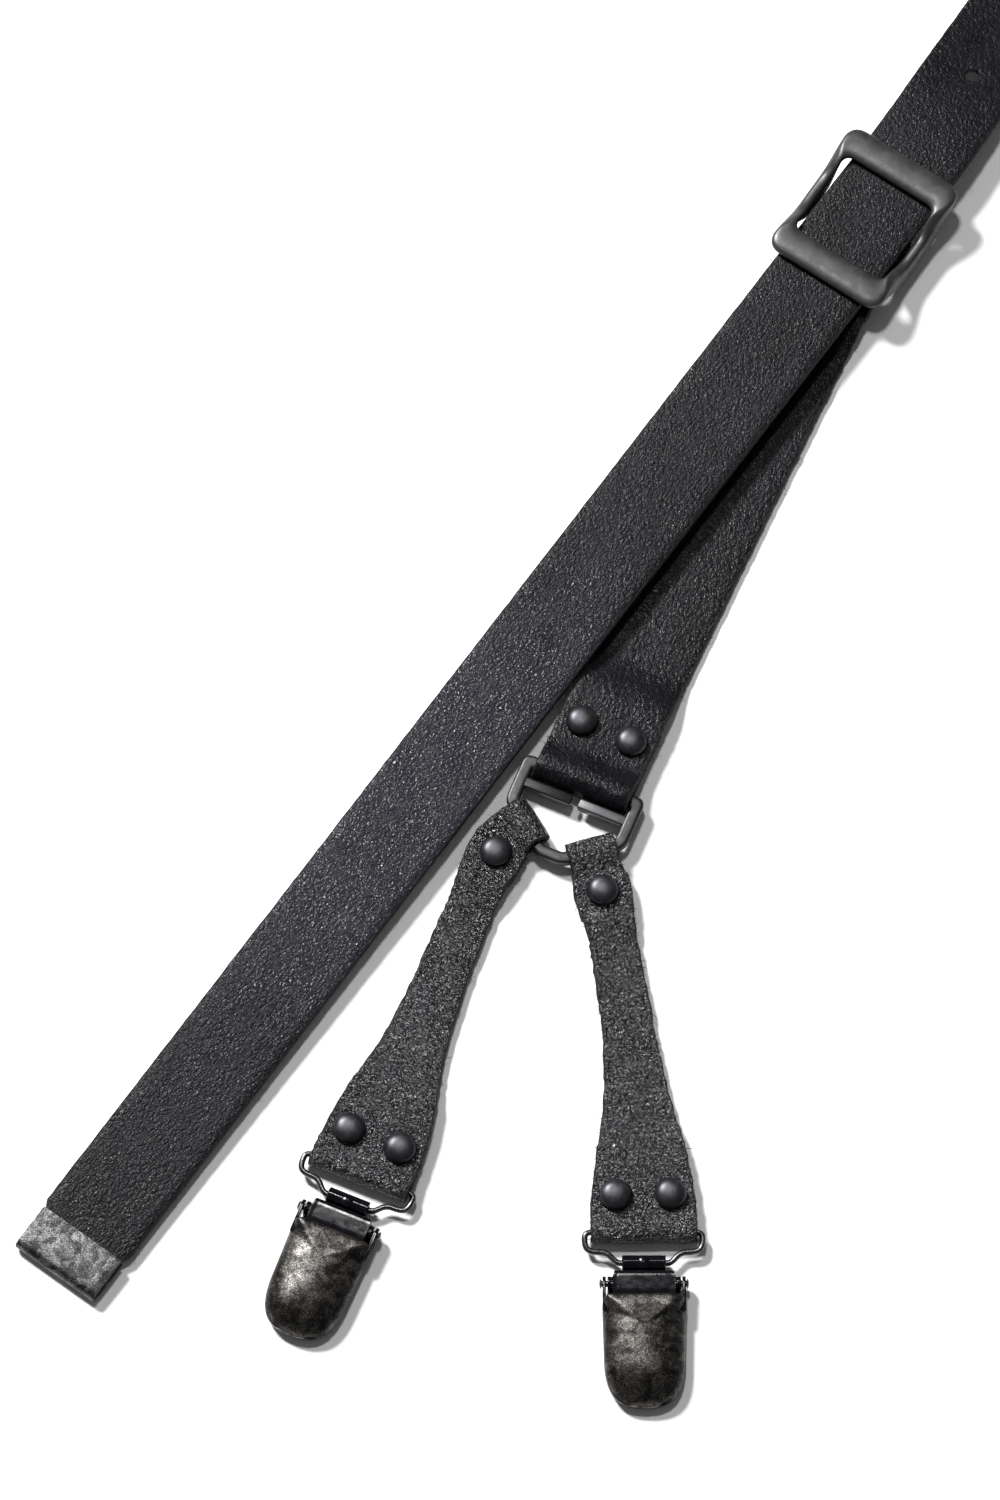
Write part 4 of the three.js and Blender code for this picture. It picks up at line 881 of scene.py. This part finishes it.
def clip_plate_shape():
    under = -WIRE_HEIGHT
    side = PLATE_HALF + EAR_SHEET
    shape = Shape()
    loop = rounded([(-side, 2.6), (side, 2.6), (side, PLATE_END - 7), (6, PLATE_END),
                    (-6, PLATE_END),
                    (-side, PLATE_END - 7)], 2, 5, 3)
    plate(shape, loop, under, under + PLATE_SHEET, kinds=(0, 0, 0))
    prism(shape, [(0, under + 0.4), (3, under), (3, under + 1.0), (1.2, -1.2), (0, -1.2)],
          -ROLL_HALF, ROLL_HALF)
    rows = []
    for radius, x in ((WIRE_RADIUS + GAP, -ROLL_HALF), (ROLL_RADIUS - 0.2, -ROLL_HALF),
                      (ROLL_RADIUS, -ROLL_HALF + 0.2),
                      (ROLL_RADIUS, ROLL_HALF - 0.2), (ROLL_RADIUS - 0.2, ROLL_HALF),
                      (WIRE_RADIUS + GAP, ROLL_HALF)):
        rows.append([(x, radius * math.cos(a), radius * math.sin(a))
                     for a in np.linspace(0, 2 * math.pi, 24, endpoint=False)])
    shape.grid([*rows, rows[0]], caps=False)
    # the pressed bump and the lip of the roll
    lathe(shape, [(0.001, 1.2), (1.7, 1.3), (1.6, 1.75), (1.15, 2.05), (0.001, 2.15)], (0, 0.2, 0),
          sides=18)
    tube(shape, [(x, 1.25, 1.15) for x in np.linspace(-ROLL_HALF + 0.2, ROLL_HALF - 0.2, 8)], 0.3,
         8)
    ear = [(PIN_AHEAD - 2.4, under + 0.1), (PIN_AHEAD + 2.4, under + 0.1),
           *[(PIN_AHEAD + 1.8 * math.cos(a), PIN_RISE + 1.8 * math.sin(a))
             for a in np.linspace(0, math.pi, 9)]]
    prism(shape, ear, PLATE_HALF, side)
    prism(shape, ear, -side, -PLATE_HALF)
    return shape


def pin_shape():
    head = PLATE_HALF + 2 * EAR_SHEET + JAW_SIDE_ROOM + GAP
    shape = Shape()
    profile = [(0.001, -head - 0.5), (0.8, -head - 0.45), (1.15, -head - 0.25), (1.3, -head),
               (PIN_RADIUS, -head + 0.05),
               (PIN_RADIUS, head - 0.05), (1.3, head), (1.15, head + 0.25), (0.8, head + 0.45),
               (0.001, head + 0.5)]
    lathe(shape, profile, (0, PIN_AHEAD, PIN_RISE), axis="x", sides=16)
    return shape


def jaw_shape():
    floor = -WIRE_HEIGHT + PLATE_SHEET + GAP
    over = PIN_RISE + PIN_RADIUS + PIN_PLAY + JAW_SHEET / 2
    half = PLATE_HALF - JAW_SIDE_ROOM
    line = [(2.75, floor + 0.45), (2.75, over - 0.6),
            *bezier([(2.75, over - 0.6), (2.75, over), (3.4, over)], 5),
            (PIN_AHEAD + 2.2, over), (JAW_END - 3, floor + 1.25), (JAW_END - 0.6, floor + 0.5)]
    lay = Lay([(0, 0), (0, 40)], 0)

    def widths(run):
        back = half - max(0, 4.0 - run) * 0.35
        front = half - max(0, run - JAW_END + JAW_CORNER) ** 2 * 0.055
        return min(back, front), min(back, front)

    return leather_strip(line, JAW_SHEET, lay, widths, step=0.8, round_off=0.2, ragged=0.0)


def lid_outline():
    """The lid in plan as a closed loop, from the rear middle round the right."""
    wide, start, end = LEVER_HALF, LEVER_START, LEVER_END
    right = [*[(x, start) for x in np.linspace(0, wide - LEVER_CORNER * 0.55, 6)],
             *bezier([(wide - LEVER_CORNER * 0.55, start), (wide, start),
                      (wide, start + LEVER_CORNER * 0.55)], 7)[1:],
             *[(wide * (1 - 0.03 * k),
                start + LEVER_CORNER * 0.55 + (end - 13 - start - LEVER_CORNER * 0.55) * k)
               for k in np.linspace(0.1, 1, 8)],
             *bezier([(wide * 0.97, end - 13), (wide * 0.97, end - 3.2), (wide * 0.66, end),
                      (0, end)], 18)[1:]]
    left = [(-x, y) for x, y in right[::-1]][1:-1]
    return np.array([*right, *left])


def lid_shape():
    loop = lid_outline()
    rows = []
    spine = np.stack([np.zeros(len(loop)), np.clip(loop[:, 1], LEVER_START + 8, LEVER_END - 10)], 1)
    rear = np.clip((LEVER_START + 3.0 - loop[:, 1]) / 2.6, 0, 1)
    foot = LEVER_SKIRT + (3.15 - LEVER_SKIRT) * rear * (np.abs(loop[:, 0]) < 8.8)
    shoulder = 0.3 + 3.1 * rear
    rows.append(np.column_stack([loop, foot]))
    rows.append(np.column_stack([loop, np.maximum(shoulder * 0.5 + foot * 0.5, foot + 0.05)]))
    for share in (0.0, 0.02, 0.05, 0.10, 0.16, 0.24, 0.33, 0.44, 0.56, 0.69, 0.82, 0.95):
        rise = (1 - (1 - share) ** 1.9) ** (1 / 1.9)
        place = loop + (spine - loop) * share
        dish = 0.28 * np.exp(-((place[:, 1] - LEVER_START - 3.4) / 1.7) ** 2) * (1 - share)
        fall = 0.9 * np.clip((place[:, 1] - 24) / 12, 0, 1) ** 2
        height = shoulder + (LEVER_TOP - 0.02 - shoulder) * rise - dish - fall * (share > 0)
        rows.append(np.column_stack([place, np.maximum(height, shoulder * (share == 0))]))
    shape = Shape()
    rows = [r.tolist() for r in rows]
    m = len(loop)
    faces = []
    for i in range(len(rows) - 1):
        faces += [[i * m + k, i * m + (k + 1) % m, (i + 1) * m + (k + 1) % m, (i + 1) * m + k]
                  for k in range(m)]
    last = (len(rows) - 1) * m
    # the closing strip between the two sides of the top, from the rear to the front
    right = [last + k for k in range(0, m // 2 + 1)]
    left = [last + (m - k) % m for k in range(0, m // 2 + 1)]
    for a in range(m // 2):
        quad = [right[a], right[a + 1], left[a + 1], left[a]]
        quad = list(dict.fromkeys(quad))
        if len(quad) > 2:
            faces.append(quad)
    shape.add([p for r in rows for p in r], faces)
    return shape


def lever_ears():
    shape = Shape()
    inside = PLATE_HALF + EAR_SHEET + JAW_SIDE_ROOM
    arc_points = [(PIN_AHEAD + 1.8 * math.cos(a), PIN_RISE + 1.8 * math.sin(a))
                  for a in np.linspace(0.5 * math.pi, 1.5 * math.pi, 9)]
    outline = [*arc_points, (LEVER_START + 4, LEVER_SKIRT + 0.1), (LEVER_START + 4, 2.2)]
    prism(shape, outline, inside, inside + EAR_SHEET)
    prism(shape, outline, -inside - EAR_SHEET, -inside)
    return shape


# ------------------------------------------------------------------ placing
def plan_frame(x, y, turn):
    """Origin and directions of a frame turned in plan."""
    c, s = math.cos(turn), math.sin(turn)
    return (x, y, 0), (c, s, 0), (-s, c, 0), (0, 0, 1)


def within(outer, x, y, z, turn):
    """A frame placed inside another."""
    origin, ex, ey, ez = [np.array(v, float) for v in outer]
    c, s = math.cos(turn), math.sin(turn)
    return origin + ex * x + ey * y + ez * z, ex * c + ey * s, ex * -s + ey * c, ez


def make_clip(name, wire_frame, bodies, mirror):
    wire = Shape()
    tube(wire, wire_centre(), WIRE_RADIUS, 12)
    build(f"{name}_clip_wire_loop", wire.moved(*wire_frame), [WIRE_METAL], f"{bodies}_wire_body",
          f"{name}_clip_wire", "wire_nickel", mirror)
    clip_frame = within(wire_frame, 0, WIRE_REACH, 0, 0)
    for part, shape, metal, body, slot in (
        ("plate", clip_plate_shape(), CLIP_BLACK, "clip_body", "clip_black"),
        ("pin", pin_shape(), WIRE_METAL, "clip_body", "wire_nickel"),
        ("jaw", jaw_shape(), CLIP_BLACK, "jaw_body", "clip_black"),
    ):
        materials = [metal] * 3 if part == "jaw" else [metal]
        build(f"{name}_clip_{part}_part", shape.moved(*clip_frame), materials, f"{bodies}_{body}",
              f"{name}_clip_{part}", slot, mirror)
    build(f"{name}_clip_lid", lid_shape().moved(*clip_frame), [LID_METAL], f"{bodies}_lever_body",
                f"{name}_clip_lever", "lever_antique", mirror, thickness=LID_SHEET, smooth=50)
    build(f"{name}_clip_lid_ears", lever_ears().moved(*clip_frame), [CLIP_BLACK],
          f"{bodies}_lever_body",
          None, "lever_antique", mirror)


def make_tab(name, outer, side, splay, lean, mirror, seed, cad_rivets):
    """One tab with its rivets and clip, laid in plan coordinates of the ring's frame."""
    origin, ex, ey, _ = [np.array(v, float) for v in outer]

    def plan(p):
        return (origin + ex * p[0] + ey * p[1])[:2]

    turned = np.array([ex[:2], ey[:2]])
    middle = np.array([side * (RING_HALF + RING_FOOT_HALF) / 2, (RING_SHOULDER + RING_DEPTH) / 2])
    out = np.array([side * math.sin(SLANT), math.cos(SLANT)])
    start = middle - out * RING_BAR / 2
    end = start + leaning(side * splay) * TAB_REACH
    lay = lay_between(plan(start), out @ turned, plan(end), leaning(side * lean) @ turned, 4, 7, 40)
    spots = [lay.at(TAB_TOP_RIVET)[0], lay.beside(lay.length - TAB_LOW_RIVETS, -RIVET_SPACING / 2),
             lay.beside(lay.length - TAB_LOW_RIVETS, RIVET_SPACING / 2)]
    dents = [(x, y, *TAB_DENT) for x, y in spots]
    strip = leather_strip(tab_line(lay.length), TAB_THICKNESS, lay, tab_half_width, step=1.5,
                          ragged=0.16,
                          dents=dents, crown=0.08, ripple=0.22, fuzz=0.9, seed=seed)
    build(f"{name}_tab_leather", strip, LEATHERS["tab"], f"{name}_tab_body", f"{name}_tab",
          "tab_leather", mirror)
    for i, (x, y) in enumerate(spots):
        node = f"{name}_tab_rivet_{i + 1}"
        build(f"{node}_cap", rivet_shape(x, y, TAB_THICKNESS, TAB_LOW, RIVET_DOME), [RIVET_BLACK],
              f"{name}_tab_body",
              node if cad_rivets else None, "rivet_black", mirror)
    wire_frame = within(outer, end[0], end[1], WIRE_HEIGHT, -side * rad(lean))
    make_clip(name, wire_frame, name, mirror)


def make_ring_end(name, outer, tabs, mirror, seed, cad_rivets):
    build(f"{name}_ring_casting", ring_shape().moved(*outer), [RING_METAL], f"{name}_ring_body",
          f"{name}_ring",
          "ring_gunmetal", mirror)
    for i, (hand, side, splay, lean) in enumerate(tabs):
        make_tab(f"{name}_{hand}", outer, side, splay, lean, mirror, seed + i * 3, cad_rivets)


def make_front(name, mirror, seed):
    up, tail_up = leaning(FRONT_STRAP_LEAN), leaning(TAIL_LEAN)
    bend = YOKE_POINT + up * (BEND_AHEAD - FRONT_STRAP_LENGTH)
    middle = bend - tail_up * BEND_AHEAD
    bend_half = 6
    to_bend = BEND_AHEAD - bend_half
    lay = Lay(bezier([bend - tail_up * bend_half, bend, bend + up * bend_half], 16), to_bend)
    yoke_run = to_bend + lay.runs[-1] + FRONT_STRAP_LENGTH - BEND_AHEAD - bend_half
    tail_end = -TAIL_LENGTH + TIP_HEIGHT
    rise = math.tan(TAIL_SLOPE)
    start = MAIN_HEIGHT + rise * to_bend
    line = [
        (tail_end, MAIN_HEIGHT + rise * tail_end),
        (tail_end + TIP_LENGTH, MAIN_HEIGHT + rise * (tail_end + TIP_LENGTH)),
        (to_bend, start),
        *bezier([(to_bend, start), (to_bend + 30, start + 0.4), (to_bend + 40, FLAT_HEIGHT),
                 (to_bend + 80, FLAT_HEIGHT)], 24),
        *eased([yoke_run - 95, yoke_run - 85, yoke_run - 80, yoke_run - 68], FLAT_HEIGHT,
               YOKE_LAYER),
        (yoke_run - YOKE_STOP, YOKE_LAYER),
    ]

    def widths(run):
        if run < tail_end + TIP_LENGTH - TIP_HEIGHT + 1:
            return TIP_WIDTH / 2 - GAP, TIP_WIDTH / 2 - GAP
        room = (yoke_run - run) * math.tan(rad(FRONT_STRAP_LEAN)) - GAP / 2
        return min(STRAP_WIDTH / 2, room), STRAP_WIDTH / 2

    hole = lay.at(STRAP_HOLE_AHEAD)[0]
    skin, fibres = [leather_strip(line, STRAP_THICKNESS, lay, widths, step=2.0, ragged=0.05,
                                  dents=[(*hole, *HOLE_DENT)], crown=0.05, ripple=0.10, fuzz=fuzz,
                                  seed=seed,
                                  skin=not fuzz) for fuzz in (0.0, 0.10)]
    strap = build(f"{name}_strap_leather", skin, LEATHERS["strap"], "harness", f"{name}_strap",
                  "strap_leather", mirror)
    build(f"{name}_strap_fibres", fibres, LEATHERS["strap"], "harness", None, "strap_leather",
          mirror)
    punch(strap, (hole[0] * (-1 if mirror else 1), hole[1]))

    tip_lay = Lay([lay.at(tail_end - 20)[0], lay.at(tail_end + 20)[0]], 0)
    radius = STRAP_THICKNESS / 2 + GAP + TIP_SHEET / 2
    reach = TIP_LENGTH - radius - TIP_SHEET / 2
    height = MAIN_HEIGHT + rise * tail_end
    tip_line = [(reach, -radius), *arc((0, 0), radius, 1.5 * math.pi, 0.5 * math.pi, 14),
                (reach, radius)]
    tip_line = [(20 + y - rise * z, height + z + rise * y) for y, z in tip_line]
    tip = leather_strip(tip_line, TIP_SHEET, tip_lay, lambda run: (TIP_WIDTH / 2, TIP_WIDTH / 2),
                        step=0.9,
                        round_off=0.25, ragged=0.03, ripple=0.07, seed=seed + 50)
    build(f"{name}_strap_tip_metal", tip, [TIP_METAL] * 3, "harness", f"{name}_strap_tip",
          "tip_antique", mirror)

    origin, ex, ey, ez = [np.array(v, float)
                          for v in plan_frame(middle[0], middle[1], -rad(BUCKLE_LEAN))]
    c, s = math.cos(TAIL_SLOPE), math.sin(TAIL_SLOPE)
    buckle_frame = (origin, ex, ey * c + ez * s, ez * c - ey * s)
    slide = f"{name}_slide"
    build(f"{name}_buckle_casting", buckle_shape().moved(*buckle_frame), [BUCKLE_METAL], slide,
          f"{name}_buckle",
          "buckle_gunmetal", mirror, smooth=70)

    ring_place = middle - leaning(RING_STRAP_LEAN) * RING_STRAP_REACH
    ring_lay = lay_between(middle, -leaning(BUCKLE_LEAN), ring_place, -leaning(RING_LEAN), 5, 14,
                           14)
    radius = CENTRE_BAR_RADIUS + GAP + STRAP_THICKNESS / 2
    line = [
        (22, STRAP_LOW), (8, STRAP_LOW),
        *arc((0, BAR_HEIGHT), radius, 1.5 * math.pi, 0.5 * math.pi, 12),
        *eased([0, 3, 5, 8], BAR_HEIGHT + radius, STRAP_HIGH, 6),
        *eased([23, 28, 30, 36], STRAP_HIGH, FLAT_HEIGHT),
        *fold_over_ring(ring_lay.length),
    ]
    ring_run = ring_lay.length - RING_RIVETS
    spots = [ring_lay.beside(run, hand * RIVET_SPACING / 2) for run in (BUCKLE_RIVETS, ring_run)
             for hand in (-1, 1)]
    strip = leather_strip(line, STRAP_THICKNESS, ring_lay, even_width, step=1.8, ragged=0.10,
                          dents=[(x, y, *STRAP_DENT) for x, y in spots], crown=0.04, ripple=0.10,
                          fuzz=0.5, seed=seed + 11)
    build(f"{name}_ring_strap_leather", strip, LEATHERS["ring"], slide, f"{name}_ring_strap",
          "strap_leather", mirror)
    for i, (x, y) in enumerate(spots):
        node = f"{name}_ring_strap_rivet_{i + 1}"
        dome = RIVET_LOW_DOME if i < 2 else RIVET_DOME
        build(f"{node}_cap", rivet_shape(x, y, STRAP_THICKNESS, STRAP_LOW, dome), [RIVET_BLACK],
              slide,
              None if mirror else node, "rivet_black", mirror)
    ring_frame = plan_frame(ring_place[0], ring_place[1], math.pi - rad(RING_LEAN))
    make_ring_end(name, ring_frame, FRONT_TABS, mirror, seed + 20, not mirror)


def punch(piece, place):
    """Cuts the round hole through a strap and keeps the result as its mesh."""
    cutter_shape = Shape()
    low, high = HOLE_CUT
    lathe(cutter_shape,
          [(0.001, low), (STRAP_HOLE_RADIUS, low), (STRAP_HOLE_RADIUS, high), (0.001, high)],
          (*place, 0), sides=28)
    mesh = bpy.data.meshes.new("cutter")
    mesh.from_pydata((np.array(cutter_shape.points) * MM).tolist(), [], cutter_shape.faces)
    work = bmesh.new()
    work.from_mesh(mesh)
    bmesh.ops.remove_doubles(work, verts=work.verts, dist=0.00001)
    bmesh.ops.recalc_face_normals(work, faces=work.faces)
    work.to_mesh(mesh)
    work.free()
    cutter = bpy.data.objects.new("cutter", mesh)
    bpy.context.scene.collection.objects.link(cutter)
    cut = piece.modifiers.new("hole", "BOOLEAN")
    cut.operation, cut.solver, cut.object = "DIFFERENCE", "EXACT", cutter
    bpy.context.view_layer.update()
    evaluated = piece.evaluated_get(bpy.context.evaluated_depsgraph_get())
    result = bpy.data.meshes.new_from_object(evaluated)
    piece.modifiers.clear()
    piece.data = result
    bpy.data.objects.remove(cutter)


def make_yoke():
    corners = [(-YOKE_FOOT_HALF, -YOKE_FOOT), (YOKE_FOOT_HALF, -YOKE_FOOT),
               (YOKE_HEAD_HALF, YOKE_HEAD),
               (-YOKE_HEAD_HALF, YOKE_HEAD)]
    loop = rounded(corners, YOKE_CORNER, 9, 12) + YOKE_POINT
    stitch_loop = rounded([(x * 0.9, y + (3.5 if y < 0 else -3.5)) for x, y in corners],
                          YOKE_CORNER, 9, 1) + YOKE_POINT
    for name, low, kinds in (("back", 0.0, (2, 1, 0)),
                             ("front", YOKE_LAYER + STRAP_THICKNESS / 2 + GAP, (0, 1, 2))):
        shape = Shape()
        plate(shape, loop, low, low + YOKE_THICKNESS, 0.35, kinds,
              (1.0, 0.97, 0.9, 0.75, 0.5, 0.25))
        build(f"yoke_{name}_leather", shape, LEATHERS["yoke"], "harness", f"yoke_{name}_plate",
              "yoke_leather")
        thread = Shape()
        height = low + YOKE_THICKNESS - 0.05 if name == "front" else 0.22
        closed = np.array([*stitch_loop, stitch_loop[0]])
        runs = np.concatenate([[0], np.cumsum(np.linalg.norm(np.diff(closed, axis=0), axis=1))])
        count = int(runs[-1] / STITCH_PITCH)
        for i in range(count):
            a = (i + 0.12) * runs[-1] / count
            b = (i + 0.88) * runs[-1] / count
            ends = [np.array([np.interp(r, runs, closed[:, k]) for k in (0, 1)]) for r in (a, b)]
            lift = 0.18 if name == "front" else -0.1
            tube(thread,
                 [(*(ends[0] + (ends[1] - ends[0]) * s), height + lift * math.sin(s * math.pi))
                          for s in (0, 0.25, 0.5, 0.75, 1)], 0.3 if name == "front" else 0.12, 8)
        build(f"yoke_{name}_stitching", thread, [THREAD], "harness")


def make_back(seed):
    lean = rad(FRONT_STRAP_LEAN)
    start = STRAP_WIDTH / 2 * math.sin(lean) - YOKE_STOP * math.cos(lean) + GAP
    lay = Lay([YOKE_POINT, YOKE_POINT + np.array([0, BACK_STRAP_LENGTH])], 0)
    line = [(start, YOKE_LAYER),
            *eased([YOKE_HEAD + 3, YOKE_HEAD + 12, YOKE_HEAD + 14, YOKE_HEAD + 24], YOKE_LAYER,
                   FLAT_HEIGHT),
            *fold_over_ring(BACK_STRAP_LENGTH)]
    spots = [lay.beside(BACK_STRAP_LENGTH - RING_RIVETS, hand * RIVET_SPACING / 2)
             for hand in (-1, 1)]
    strip = leather_strip(line, STRAP_THICKNESS, lay, even_width, ragged=0.08,
                          dents=[(x, y, *STRAP_DENT) for x, y in spots],
                          crown=0.04, ripple=0.1, fuzz=0.4, seed=seed)
    build("back_strap_leather", strip, LEATHERS["ring"], "harness", "back_strap", "strap_leather")
    for i, (x, y) in enumerate(spots):
        build(f"back_strap_rivet_{i + 1}_cap",
              rivet_shape(x, y, STRAP_THICKNESS, STRAP_LOW, RIVET_DOME), [RIVET_BLACK],
              "harness", None, "rivet_black")
    frame_at_ring = plan_frame(YOKE_POINT[0], YOKE_POINT[1] + BACK_STRAP_LENGTH, 0)
    make_ring_end("back", frame_at_ring, BACK_TABS, False, seed + 5, False)


# ------------------------------------------------------------------ camera, light, floor
TARGET = Vector((-0.193, (YOKE_POINT[1] - 622.1) * MM, 0.0))
AZIMUTH, ELEVATION, DISTANCE = rad(15.4), rad(70.0), 1.852
LENS, SENSOR_WIDTH = 180.0, 36.0
FLOOR_SIZE, FLOOR_DOWN = 12, 0.0001
# place, aim, width across (m) and power (W). The sheen light is where the tail's middle mirrors it.
KEY_LIGHT = (-1.25, 0.35, 1.35), (-0.15, -0.3, 0), 0.42, 70
SHEEN_LIGHT = (-0.36, 0.02, 1.33), (-0.215, -0.395, 0), 0.16, 6.5
WORLD_STRENGTH = 0.12


def make_stage():
    back = Vector((math.sin(AZIMUTH) * math.cos(ELEVATION),
                   -math.cos(AZIMUTH) * math.cos(ELEVATION), math.sin(ELEVATION)))
    camera_data = bpy.data.cameras.new("camera")
    camera_data.lens, camera_data.sensor_width = LENS, SENSOR_WIDTH
    camera_data.clip_start, camera_data.clip_end = 0.05, 20.0
    camera = bpy.data.objects.new("camera", camera_data)
    camera.location = TARGET + back * DISTANCE
    camera.rotation_mode = "QUATERNION"
    camera.rotation_quaternion = (-back).to_track_quat("-Z", "Y")
    bpy.context.scene.collection.objects.link(camera)
    bpy.context.scene.camera = camera

    bpy.ops.mesh.primitive_plane_add(size=FLOOR_SIZE, location=(0, 0, -FLOOR_DOWN))
    floor = bpy.context.object
    floor.name = "floor"
    n = Nodes("pale_floor")
    n.colour(n.mix(n.noise(n.scaled("Object", (1, 1, 1)), 0.7, 2.0), (0.92, 0.92, 0.92),
                   (0.94, 0.94, 0.94)))
    n.put(Roughness=0.65, Specular_IOR_Level=0.2)
    floor.data.materials.append(n.material)

    def area(name, place, aim, size, power):
        data = bpy.data.lights.new(name, "AREA")
        data.shape, data.size, data.energy = "DISK", size, power
        light = bpy.data.objects.new(name, data)
        light.location = place
        light.rotation_mode = "QUATERNION"
        light.rotation_quaternion = (Vector(aim) - Vector(place)).to_track_quat("-Z", "Y")
        bpy.context.scene.collection.objects.link(light)

    area("key", *KEY_LIGHT)
    area("sheen", *SHEEN_LIGHT)
    world = bpy.data.worlds.new("studio")
    world.use_nodes = True
    world.node_tree.nodes["Background"].inputs[0].default_value = (1.0, 1.0, 1.0, 1)
    world.node_tree.nodes["Background"].inputs[1].default_value = WORLD_STRENGTH
    bpy.context.scene.world = world
    bpy.context.scene.view_settings.view_transform = "Standard"


make_stage()
make_yoke()
make_front("left", False, 3)
make_front("right", True, 4)
make_back(9)
